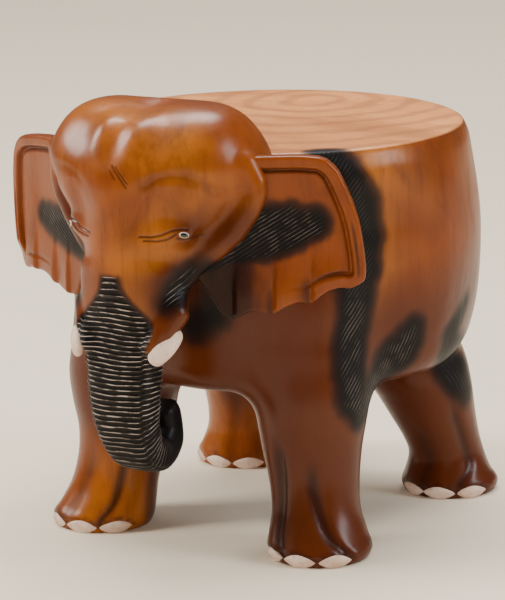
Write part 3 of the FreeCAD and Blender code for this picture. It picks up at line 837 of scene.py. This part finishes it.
def trunk_marks(points):
    """Where the trunk is burnt and ringed, the ring number, and the groove down each corner."""
    x, _, z = points.T
    x = trunk_side(x, z)
    along, forward, wide, deep = trunk_polar(tuple(points.T))
    half = 7.0 + (wide + 6 - 7.0) * fade(z, 264, 208)
    on_front = forward > 0.0
    reach = np.where(on_front, half - np.abs(x), 12 - (z - 214) * 0.9)
    reach = np.where(z > 267, np.minimum(reach, 267 - z), reach)
    end = TRUNK_LENGTHS[-1] - SMOOTH_END
    smooth_end = fade(along, end - 8, end + 8)
    burn_and_painted_shade = np.where(along > 0, fade(reach, -9, 4), 0.0)
    burn_and_painted_shade *= fade(z, 275, 262) * fade(np.hypot(x, forward), 50, 40)
    corner = bell(np.abs(x) / wide, 0.86, 0.05)
    corner *= bell(forward / deep, 0.80, 0.16)
    ring = along / RING_PITCH + 0.14 * np.sin(x * 0.11 + along * 0.05)
    ring = ring + 0.04 * np.sin(x * 0.3 + along)
    side = fade(np.abs(x) / wide, 0.84, 0.92)
    ring = ring + 0.4 * side
    hatch = burn_and_painted_shade * (1 - smooth_end) * (1 - 0.8 * corner) * fade(forward / deep, -0.95, -0.75)
    hatch *= fade(reach, -2, 3)
    return burn_and_painted_shade, ring, hatch, corner * burn_and_painted_shade


# Lines carved on the face, as (distance from the middle, height), then depth and half width:
# the folds round the eye, the arc of the brow, and the scratches left of the forehead's middle
FACE_LINES = [
    ([(26, 302.5), (35, 302), (43, 304), (51, 308), (58, 309.5), (62, 309)], 1.4, 0.9),
    ([(29, 299), (39, 298.5), (47, 300), (52, 303), (55, 305.5)], 1.1, 0.8),
    ([(56, 301.5), (61, 299.8), (65, 301)], 0.8, 0.8),
]
BROW_LINE = ([(33, 346), (42, 352), (54, 355), (66, 354), (76, 348), (82, 338)], 2.4, 4.5)
SCRATCHES = [
    ([(3, 362), (10, 355), (18, 345)], 0.7, 0.6),
    ([(7, 361), (14, 354), (19, 348)], 0.5, 0.5),
    ([(2, 358), (8, 351)], 0.4, 0.5),
]


def face_grooves(points):
    """How deep the carved lines round the eyes and on the brow cut, and the painted shade in them.
    """
    x, y, z = points.T
    u = half_face(x, z)
    front = fade(y, -205, -215)
    cut = np.zeros(len(points))
    painted_groove_shade = np.zeros(len(points))
    for across, lines in ((u, FACE_LINES), (x, SCRATCHES)):
        for line, depth, half_width in lines:
            shape = bell(line_gap(across, z, line), 0, half_width)
            cut += depth * shape
            painted_groove_shade = np.maximum(painted_groove_shade, shape)
    line, depth, half_width = BROW_LINE
    shape = bell(line_gap(u, z, line), 0, half_width)
    cut += depth * shape * (1 - 0.75 * fade(x, -5, -30))
    painted_groove_shade = np.maximum(painted_groove_shade, 0.22 * shape)
    return cut * front, painted_groove_shade * front


def head_marks(points):
    """What the head's material reads at each point, and how deep it is cut."""
    x, y, z = points.T
    rough = cracked(points, 40, 7)
    burn_and_painted_shade, phase, hatch, corner = trunk_marks(points)
    cheek = patch_gap(points, CHEEK)
    in_cheek = cheek + 2.0 * rough
    cheek_burn = fade(in_cheek, 15.0, -9.0)
    use = cheek_burn > burn_and_painted_shade
    phase = np.where(use, strokes(np.abs(x), z, 52, 3.4), phase)
    hatch = np.where(use, 0.45 * fade(in_cheek, -1, -8), hatch)
    burn_and_painted_shade = np.maximum(burn_and_painted_shade, cheek_burn)
    throat = patch_gap(points, THROAT)
    # Painted shadow, with some burn, under the jaw toward the chest
    burn_and_painted_shade = np.maximum(burn_and_painted_shade, 0.94 * fade(throat + 4 * rough, 8, -8) * fade(y, -232, -222))
    cut, painted_groove_shade = face_grooves(points)
    cut = cut + hatch * (1.0 - bell(ridge_shape(phase), 0, 0.35)) * 0.9
    cut = cut + 1.2 * corner
    # Painted shade: darker on the sides of the face below the brow and on the lower face, with
    # random mottling
    shade = 0.85 * fade(np.abs(x), 24, 70) * fade(z, 350, 300) + 0.5 * fade(z, 290, 262)
    shade += 0.16 + 0.28 * cracked(points, 90, 23)
    marks = {"burn_and_painted_shade": burn_and_painted_shade, "phase": phase, "hatch": hatch, "painted_groove_shade": painted_groove_shade,
             "shade": np.clip(shade, 0, 1), "rub": 0.45 + 0.55 * fade(z, 92, 150)}
    return marks, cut


# The burnt patch of each ear: out from the root line, height, radius
EAR_BURNS = {
    "left": [(-52, 286, 17), (-30, 294, 18), (-6, 299, 19), (20, 306, 16), (40, 309, 10)],
    "right": [(-52, 288, 16), (-30, 289, 14), (-8, 291, 11), (10, 294, 8), (20, 296, 5)],
}


def ear_marks(points, side):
    """What an ear's material reads at each point, and how deep it is cut."""
    s, z, off = ear_frame(tuple(points.T))
    rough = cracked(points, 34, 11)
    spots = EAR_BURNS[side]
    gap = rod_chain((s, z, np.zeros_like(s)), [(a, b, 0) for a, b, _ in spots],
                    [row[2] for row in spots])
    front = fade(off, 0, 3)
    phase = strokes(s, z + 0.5 * rough, 32, 3.1)
    edge = gap + 1.2 * rough
    burn_and_painted_shade = fade(edge, 15.0, -4.0) * front
    hatch = fade(edge, 3.0, -5.0) * fade(s, -48, -30) * front
    # Painted shade, with some burn, on the low front flap, and painted shadow in the fold valleys
    flap = fade(s, 16, -34) * fade(z, 306, 274)
    valley_shade = np.zeros(len(points))
    for place, bottom in EAR_FOLDS[side][1:3]:
        t = (place - s) / 20.0
        shade = bell(t, 0, np.where(t > 0, 0.55, 0.06))
        valley_shade = np.maximum(valley_shade, shade * fade(z, bottom + 34, bottom + 6))
    # The right ear gets a tenth of this painted shade and burn
    soot_and_painted_shade = 1.0 if side == "left" else 0.1
    burn_and_painted_shade = np.maximum(burn_and_painted_shade, 0.75 * soot_and_painted_shade * flap * front)
    burn_and_painted_shade = np.maximum(burn_and_painted_shade, 0.40 * soot_and_painted_shade * valley_shade * front)
    inside = -outline_distance(s, z, EAR_EDGES[side])
    rim = ear_rim_zone(s, z)
    # Painted shadow in the groove under the rim and in the fine line along it
    painted_groove_shade = rim * bell(inside, 12.9, 2.1)
    painted_groove_shade = np.maximum(painted_groove_shade, rim * second_line(inside, z)) * front
    # The shade mark is painted shade, darker toward the ear's bottom
    marks = {"burn_and_painted_shade": burn_and_painted_shade, "phase": phase, "hatch": hatch, "painted_groove_shade": painted_groove_shade,
             "shade": 0.15 + 0.20 * fade(z, 300, 240), "rub": np.full(len(points), 0.32)}
    return marks, 0.3 * hatch * ridge_shape(phase)


# ==== Materials ====


class Graph:
    """A short way to write a material's nodes."""

    def __init__(self, name):
        self.material = bpy.data.materials.new(name)
        self.material.use_nodes = True
        self.tree = self.material.node_tree
        self.shader = self.tree.nodes["Principled BSDF"]
        self.place = self.add("ShaderNodeTexCoord").outputs["Object"]

    def add(self, kind, **settings):
        node = self.tree.nodes.new(kind)
        for key, value in settings.items():
            setattr(node, key, value)
        return node

    def put(self, socket, value):
        if isinstance(value, bpy.types.NodeSocket):
            self.tree.links.new(value, socket)
        else:
            socket.default_value = value

    def put_all(self, node, inputs):
        for name, value in inputs.items():
            self.put(node.inputs[name], value)

    def math(self, operation, a, b=0.0, clamp=False):
        node = self.add("ShaderNodeMath", operation=operation, use_clamp=clamp)
        self.put(node.inputs[0], a)
        self.put(node.inputs[1], b)
        return node.outputs[0]

    def span(self, value, low, high, to_low=0.0, to_high=1.0):
        """value from low to high becomes to_low to to_high, smooth at both ends."""
        node = self.add("ShaderNodeMapRange", interpolation_type="SMOOTHSTEP")
        for i, number in enumerate((value, low, high, to_low, to_high)):
            self.put(node.inputs[i], number)
        return node.outputs[0]

    def mark(self, name):
        node = self.add("ShaderNodeAttribute", attribute_name=name)
        return node.outputs["Fac"]

    def mapped(self, **inputs):
        node = self.add("ShaderNodeMapping", vector_type="POINT")
        self.put_all(node, {"Vector": self.place, **inputs})
        return node.outputs[0]

    def noise(self, scale, detail, stretch, distort, rough=0.5):
        node = self.add("ShaderNodeTexNoise")
        self.put_all(node, {"Vector": self.mapped(Scale=stretch), "Scale": scale, "Detail": detail,
                            "Roughness": rough, "Distortion": distort})
        return node.outputs["Fac"]

    def mix(self, amount, a, b):
        node = self.add("ShaderNodeMix", data_type="RGBA")
        a, b = ((*c, 1) if isinstance(c, tuple) else c for c in (a, b))
        self.put_all(node, {"Factor": amount, "A": a, "B": b})
        return node.outputs["Result"]

    def bump(self, height, strength, distance, normal=None):
        node = self.add("ShaderNodeBump")
        self.put_all(node, {"Strength": strength, "Distance": distance, "Height": height})
        if normal is not None:
            self.put(node.inputs["Normal"], normal)
        return node.outputs["Normal"]


ORANGE = (0.185, 0.038, 0.0025)
AMBER = (0.37, 0.115, 0.009)
RED_BROWN = (0.055, 0.0085, 0.0015)
DEEP_BROWN = (0.018, 0.004, 0.002)
BURN_AND_SHADE_BLACK = (0.0035, 0.0028, 0.0027)
RUBBED = (0.33, 0.27, 0.235)
PALE_END_GRAIN = (0.72, 0.29, 0.095)
RING_BROWN = (0.27, 0.09, 0.03)
END_GRAIN_CLOUD = (0.46, 0.165, 0.052)
CHALK = (0.66, 0.50, 0.41)
THIN_CHALK = (0.52, 0.35, 0.26)
BARE_GRAIN = (0.30, 0.17, 0.11)
FLOOR_CREAM = (0.80, 0.69, 0.54)


def lacquered_wood(name, golden, seat=False):
    """Carved wood under gloss lacquer: grain, painted shade with random mottling, painted shade in
    the grooves, burnt patches with painted shadow among them, and rubbed strokes.
    golden says how much of it is amber."""
    g = Graph(name)
    cloud = g.noise(5.5, 3.0, (1, 1, 0.7), 0.6)
    figure = g.noise(17.0, 5.0, (1, 1, 0.5), 1.2, 0.6)
    grain = g.noise(160.0, 5.0, (1, 1, 0.07), 0.4, 0.6)
    pores = g.noise(640.0, 2.0, (1, 1, 0.08), 0.0)
    colour = g.mix(g.span(cloud, 0.75 - 0.5 * golden, 1.05 - 0.5 * golden), ORANGE, AMBER)
    colour = g.mix(g.span(figure, 0.50, 0.76, 0, 0.55), colour, RED_BROWN)
    colour = g.mix(g.span(grain, 0.42, 0.75, 0, 0.26), colour, RED_BROWN)
    colour = g.mix(g.span(pores, 0.58, 0.80, 0, 0.30), colour, RED_BROWN)
    # Painted shade, with random mottling, darkens toward red brown
    colour = g.mix(g.span(g.mark("shade"), 0.0, 1.0, 0, 0.93), colour, RED_BROWN)
    # Painted shade in the carved grooves
    colour = g.mix(g.math("MULTIPLY", g.mark("painted_groove_shade"), 0.85), colour, DEEP_BROWN)
    rough = g.span(figure, 0.3, 0.8, 0.30, 0.42)
    if seat:
        colour, rough = seat_colour(g, colour, rough)
    # The burn mark also holds painted shadow under the jaw and in the ears' folds, coloured black
    # like the burns
    burn_and_painted_shade = g.mark("burn_and_painted_shade")
    smoke = g.noise(60.0, 4.0, (1, 1, 0.5), 0.4)
    soot_and_painted_shade = g.math("ADD", burn_and_painted_shade, g.span(smoke, 0.3, 0.7, -0.06, 0.06))
    soot_and_painted_shade = g.math("MULTIPLY", soot_and_painted_shade, g.span(burn_and_painted_shade, 0.0, 0.2), clamp=True)
    colour = g.mix(g.span(soot_and_painted_shade, 0.0, 0.55, 0, 0.85), colour, DEEP_BROWN)
    colour = g.mix(g.span(soot_and_painted_shade, 0.25, 1.0), colour, BURN_AND_SHADE_BLACK)
    cycle = g.math("FRACT", g.math("ADD", g.mark("phase"), 1000.5))
    off = g.math("MINIMUM", cycle, g.math("SUBTRACT", 1.0, cycle))
    wear = g.noise(85.0, 3.0, (1, 1, 1), 0.0)
    rubbed = g.math("MULTIPLY", g.span(off, 0.13, 0.04), g.span(wear, 0.38, 0.60, 0.12, 1.0))
    rubbed = g.math("MULTIPLY", rubbed, g.math("MULTIPLY", g.mark("hatch"), g.mark("rub")))
    colour = g.mix(rubbed, colour, RUBBED)
    g.put_all(g.shader, {
        "Base Color": colour,
        "Roughness": g.math("ADD", rough, g.math("MULTIPLY", soot_and_painted_shade, 0.16)),
        "Specular IOR Level": g.span(soot_and_painted_shade, 0, 1, 0.17, 0.12),
        "Coat Weight": g.span(soot_and_painted_shade, 0, 1, 0.17, 0.05),
        "Coat Roughness": 0.24,
    })
    fine = g.math("ADD", g.math("MULTIPLY", grain, 0.6), g.math("MULTIPLY", pores, 0.4))
    normal = g.bump(fine, 0.22, 0.0006)
    ripple = g.noise(26.0, 3.0, (1, 1, 0.6), 0.2)
    g.put_all(g.shader, {"Normal": g.bump(ripple, 0.22, 0.004, normal),
                         "Coat Normal": g.bump(ripple, 0.18, 0.004)})
    return g.material


def seat_colour(g, colour, rough):
    """Pale end grain with growth rings on the flat top."""
    split = g.add("ShaderNodeSeparateXYZ")
    g.put(split.inputs[0], g.place)
    height = SEAT_HEIGHT * MM
    top = g.span(split.outputs["Z"], height - 0.0022, height - 0.0006)
    heart = g.mapped(Location=(0.018, -0.128, -height), Scale=(1.0, 0.86, 0.2))
    rings = g.add("ShaderNodeTexWave", wave_type="RINGS", rings_direction="Z",
                  wave_profile="SIN")
    g.put_all(rings, {"Vector": heart, "Scale": 9.0, "Distortion": 6.5, "Detail": 4.0,
                      "Detail Scale": 0.9, "Detail Roughness": 0.55})
    fleck = g.noise(240.0, 3.0, (1, 1, 1), 0.0)
    cloud = g.noise(6.0, 3.0, (0.6, 1.5, 1), 1.2)
    pale = g.mix(g.span(cloud, 0.35, 0.65), PALE_END_GRAIN, END_GRAIN_CLOUD)
    pale = g.mix(g.span(rings.outputs["Fac"], 0.40, 1.0, 0, 0.42), pale, RING_BROWN)
    pale = g.mix(g.span(fleck, 0.45, 0.8, 0, 0.3), pale, RING_BROWN)
    colour = g.mix(top, colour, pale)
    return colour, g.math("ADD", rough, g.math("MULTIPLY", top, 0.08))


def chalky(name):
    """Pale wood rubbed with white."""
    g = Graph(name)
    grain = g.noise(210.0, 4.0, (1, 1, 1), 0.6)
    cloud = g.noise(60.0, 3.0, (1, 1, 1), 0.3)
    colour = g.mix(g.span(cloud, 0.35, 0.7), CHALK, THIN_CHALK)
    colour = g.mix(g.span(grain, 0.5, 0.8, 0, 0.5), colour, BARE_GRAIN)
    g.put_all(g.shader, {"Base Color": colour, "Roughness": 0.52,
                         "Normal": g.bump(grain, 0.35, 0.0008)})
    return g.material


def plain(name, colour, roughness, coat=0.0):
    g = Graph(name)
    g.put_all(g.shader, {"Base Color": (*colour, 1), "Roughness": roughness, "Coat Weight": coat})
    return g.material


LOG_WOOD = lacquered_wood("lacquered_log", 0.75, seat=True)
HEAD_WOOD = lacquered_wood("lacquered_head", 0.68)
EAR_WOOD = lacquered_wood("lacquered_ears", 0.5)
TUSK_WHITE = chalky("tusk_white")
NAIL_WHITE = chalky("nail_white")
EYE_WHITE = plain("eye_white", (0.58, 0.48, 0.38), 0.45)
EYE_BEAD = plain("eye_bead", (0.010, 0.009, 0.008), 0.12, 0.5)
DOWEL_WOOD = plain("bare_dowel", (0.60, 0.42, 0.25), 0.6)

# ==== The pieces ====

COARSE = 1.0
LOG_BOX = ((-196, -200, -4), (196, 204, 364))
HEAD_BOX = ((-116, -274, 80), (116, -150, 412))
EAR_BOX = ((28, -238, 218), (202, -118, 376))
TUSK_BOX = ((20, -276, 178), (70, -212, 248))


def make_carving(node, material, field, marks_at, box, step, cuts, limit, flip=False):
    """A wooden piece: an even mesh of its field, made finer where strokes are cut in."""
    name = node.replace("body_", "") + "_carving"
    points, quads = carve(field, *box, step * COARSE)
    mesh = carved_mesh(name, points, quads)
    marks, cut = marks_at(points)
    refine(mesh, np.maximum(marks["hatch"], cut) - 0.02, cuts)
    points = settle(field, read_points(mesh), limit)
    marks, cut = marks_at(points)
    points = points - cut[:, None] * outward(field, points)
    if flip:
        points[:, 0] *= -1
        mesh.flip_normals()
    write_points(mesh, points)
    finish_piece(name, mesh, node, material, marks)


def make_ear(side):
    """An ear, carved as a left one and turned over for the right side."""
    make_carving(side + "_ear", EAR_WOOD, lambda p: ear_field(p, side),
                 lambda points: ear_marks(points, side), EAR_BOX, 1.5, 1, 1.5, side == "right")


TUSK_ROOT = np.array((51.0, -242.0, 220.0))
TUSK_TIP = np.array((37.0, -262.0, 195.0))
TUSK_LENGTH = np.linalg.norm(TUSK_TIP - TUSK_ROOT)
TUSK_WAY = (TUSK_TIP - TUSK_ROOT) / TUSK_LENGTH


def tusk_field(p):
    """A short blunt leaf: a taper that is flatter than it is wide."""
    across = np.array([0.45, 0.55, -0.70])
    across -= TUSK_WAY * across.dot(TUSK_WAY)
    across /= np.linalg.norm(across)
    axes = (TUSK_WAY, across, np.cross(TUSK_WAY, across))
    d = [p[i] - TUSK_ROOT[i] for i in range(3)]
    along, wide, deep = (sum(d[i] * axis[i] for i in range(3)) for axis in axes)
    t = np.clip(along / TUSK_LENGTH, -0.1, 1.0)
    half = 9.8 * np.sqrt(1.0 - ((t - 0.45) / 0.64) ** 2)
    side = squarish(wide, deep, half, half * 0.6, 2)
    return soft_max(soft_max(side, along - TUSK_LENGTH, 5.0), -along - 3, 6.0)


def make_tusks():
    points, quads = carve(tusk_field, *TUSK_BOX, COARSE)
    mesh = carved_mesh("tusk_carving", points, quads)
    other = mesh.copy()
    # The right tusk sits deeper in its sheath
    back = (TUSK_TIP - points) @ TUSK_WAY
    sunk = points + 0.25 * back[:, None] * TUSK_WAY
    write_points(other, sunk * np.array([-1.0, 1.0, 1.0]))
    other.flip_normals()
    finish_piece("left_tusk_carving", mesh, "left_tusk", TUSK_WHITE)
    finish_piece("right_tusk_carving", other, "right_tusk", TUSK_WHITE)


EYE_HEIGHT = 304.4


def face_depth(x, z):
    """Y of the face's surface at a place seen from the front."""
    near, far = -300.0, -200.0
    for _ in range(26):
        middle = 0.5 * (near + far)
        value = head_field(tuple(np.array([v]) for v in (x, middle, z)))[0]
        near, far = (near, middle) if value < 0 else (middle, far)
    return near


def button(name, centre, axes, radii):
    """A small ellipsoid with its own axes."""
    mesh = bpy.data.meshes.new(name)
    form = bmesh.new()
    bmesh.ops.create_uvsphere(form, u_segments=40, v_segments=24, radius=1.0)
    form.to_mesh(mesh)
    form.free()
    points = read_points(mesh)
    write_points(mesh, np.asarray(centre) + (points * np.asarray(radii)) @ np.asarray(axes))
    return mesh


def make_eye(side, x):
    """A white ring and a black bead let into the face, longer along the lid."""
    place = np.array([[x, face_depth(x, EYE_HEIGHT), EYE_HEIGHT]])
    normal = outward(head_field, place)[0]
    along = np.array([normal[1], -normal[0], 0.0]) * -math.copysign(1, x)
    along += np.array([0, 0, -0.22])
    along -= normal * along.dot(normal)
    along /= np.linalg.norm(along)
    axes = [along, np.cross(normal, along), normal]
    ring = button(side + "_eye_ring", place[0] - 0.6 * normal, axes, (4.3, 2.6, 1.8))
    bead = button(side + "_bead", place[0] - 0.2 * normal, axes, (3.7, 2.15, 2.2))
    finish_piece(side + "_eye_ring", ring, side + "_eye_white", EYE_WHITE)
    finish_piece(side + "_bead", bead, side + "_eye_bead", EYE_BEAD)


NAIL_COLUMNS = 29
NAIL_ROWS = 11


def nail_points(corner, nail_angle, sink):
    """A grid of points over a toenail's lens, sink below its face."""
    table = LEGS[corner][0]
    foot_x, foot_y = foot_place(corner)
    a, b = np.meshgrid(np.linspace(-1, 1, NAIL_COLUMNS), np.linspace(-1, 1, NAIL_ROWS),
                       indexing="ij")
    tall = NAIL_HALF_HEIGHT * np.maximum(1e-3, 1 - np.abs(a) ** 1.7) ** 0.8
    z = NAIL_HEIGHT + tall * b
    radius = from_table(table, 2, z)
    angle = nail_angle + np.degrees(a * NAIL_HALF_WIDTH / radius)
    puff = 0.9 * (1 - a * a) * (1 - b * b)
    lobe = LOBE_HEIGHT * bell(angle, nail_angle, LOBE_DEGREES)
    out = radius + lobe - 0.75 + puff - sink
    turn = np.radians(angle)
    reach = from_table(table, 1, z)
    x = foot_x * reach + out * np.sin(turn)
    y = foot_y * reach - out * np.cos(turn)
    return np.stack([x, y, np.maximum(z, 0.15)], axis=-1).reshape(-1, 3)


def make_toenails(corner):
    """A foot's toenails: each is a curved face, a back and a rim between them."""
    points = []
    faces = []
    wide, tall = NAIL_COLUMNS, NAIL_ROWS
    for nail_angle in LEGS[corner][2]:
        for sink, flip in ((0.0, False), (4.0, True)):
            base = len(points)
            points.extend(nail_points(corner, nail_angle, sink))
            for i in range(wide - 1):
                for j in range(tall - 1):
                    k = base + i * tall + j
                    face = [k, k + tall, k + tall + 1, k + 1]
                    faces.append(face[::-1] if flip else face)
        front, back = base - wide * tall, base
        rim = [(i, 0) for i in range(wide)] + [(wide - 1, j) for j in range(1, tall)]
        rim += [(i, tall - 1) for i in range(wide - 2, -1, -1)]
        rim += [(0, j) for j in range(tall - 2, 0, -1)]
        for k in range(len(rim)):
            m, n = (i * tall + j for i, j in (rim[k], rim[(k + 1) % len(rim)]))
            faces.append([front + n, front + m, back + m, back + n])
    mesh = carved_mesh(corner + "_nails", points, faces)
    finish_piece(corner + "_nails", mesh, corner + "_toenails", NAIL_WHITE)


make_carving("body_log", LOG_WOOD, log_field, log_marks, LOG_BOX, 3.3, 3, 2.0)
make_carving("head", HEAD_WOOD, head_field, head_marks, HEAD_BOX, 2.6, 2, 2.0)
make_ear("left")
make_ear("right")
make_tusks()
make_eye("left", 61.0)
make_eye("right", -54.3)
for foot_corner in LEGS:
    make_toenails(foot_corner)
for dowels in ("neck_dowels", "left_ear_dowels", "right_ear_dowels"):
    node = frame["nodes"][dowels]
    node.data.materials.clear()
    node.data.materials.append(DOWEL_WOOD)

# ==== Floor, light and camera ====

FLOOR_REACH = 14.0
LAMPS_AIM = Vector((0.0, 0.0, 0.2))
DAYLIGHT = (1.0, 0.96, 0.90)
OVERHEAD_LIGHT = (1.0, 0.98, 0.95)


def make_floor():
    """A pale floor, wide enough to fill the view from every side."""
    mesh = bpy.data.meshes.new("floor")
    corners = [(x * FLOOR_REACH, y * FLOOR_REACH, 0)
               for x, y in ((-1, -1), (1, -1), (1, 1), (-1, 1))]
    mesh.from_pydata(corners, [], [(0, 1, 2, 3)])
    mesh.materials.append(plain("floor", FLOOR_CREAM, 0.8))
    floor = bpy.data.objects.new("floor", mesh)
    bpy.context.scene.collection.objects.link(floor)


def add_softbox(name, place, size, power, colour, use):
    """A soft lamp aimed at the elephant. use is fill, for no reflections, glare, for nothing
    else, or both."""
    lamp = bpy.data.lights.new(name, "AREA")
    lamp.shape = "RECTANGLE"
    lamp.size, lamp.size_y = size
    lamp.energy = power
    lamp.color = colour
    holder = bpy.data.objects.new(name, lamp)
    holder.location = place
    holder.rotation_euler = (LAMPS_AIM - Vector(place)).to_track_quat("-Z", "Y").to_euler()
    holder.visible_glossy = use != "fill"
    holder.visible_diffuse = use != "glare"
    bpy.context.scene.collection.objects.link(holder)


make_floor()
add_softbox("window", (-2.1, -1.7, 1.9), (1.0, 1.3), 110, DAYLIGHT, "fill")
add_softbox("window_glare", (-2.3, -0.6, 1.9), (1.0, 1.3), 95, (1.0, 0.97, 0.92), "glare")
add_softbox("front", (1.6, -3.0, 0.8), (1.2, 0.8), 60, DAYLIGHT, "fill")
add_softbox("right_window", (2.3, 0.5, 1.4), (0.8, 1.3), 45, (0.95, 0.97, 1.0), "both")
add_softbox("overhead", (-0.4, 1.4, 6.0), (6.0, 6.0), 640, OVERHEAD_LIGHT, "fill")
add_softbox("overhead_glare", (-0.4, 0.7, 2.4), (1.6, 1.0), 100, OVERHEAD_LIGHT, "glare")
world = bpy.data.worlds.new("studio")
bpy.context.scene.world = world
world.use_nodes = True
background = world.node_tree.nodes["Background"].inputs
background["Color"].default_value = (1.0, 0.97, 0.93, 1)
background["Strength"].default_value = 0.15

# The camera's turn to the elephant's left, its angle down and its roll, in degrees, then its
# place in metres and its focal length in millimetres
CAMERA_ANGLES = (31.46, 12.69, -1.03)
CAMERA_PLACE = (1.5592, -2.5487, 0.8738)
CAMERA_LENS = 204


def add_camera():
    turn, pitch, roll = (math.radians(angle) for angle in CAMERA_ANGLES)
    lens = bpy.data.cameras.new("camera")
    lens.lens = CAMERA_LENS
    camera = bpy.data.objects.new("camera", lens)
    camera.matrix_world = (
        Matrix.Translation(CAMERA_PLACE) @ Matrix.Rotation(turn, 4, "Z")
        @ Matrix.Rotation(math.pi / 2 - pitch, 4, "X") @ Matrix.Rotation(roll, 4, "Z"))
    bpy.context.scene.collection.objects.link(camera)
    bpy.context.scene.camera = camera


add_camera()
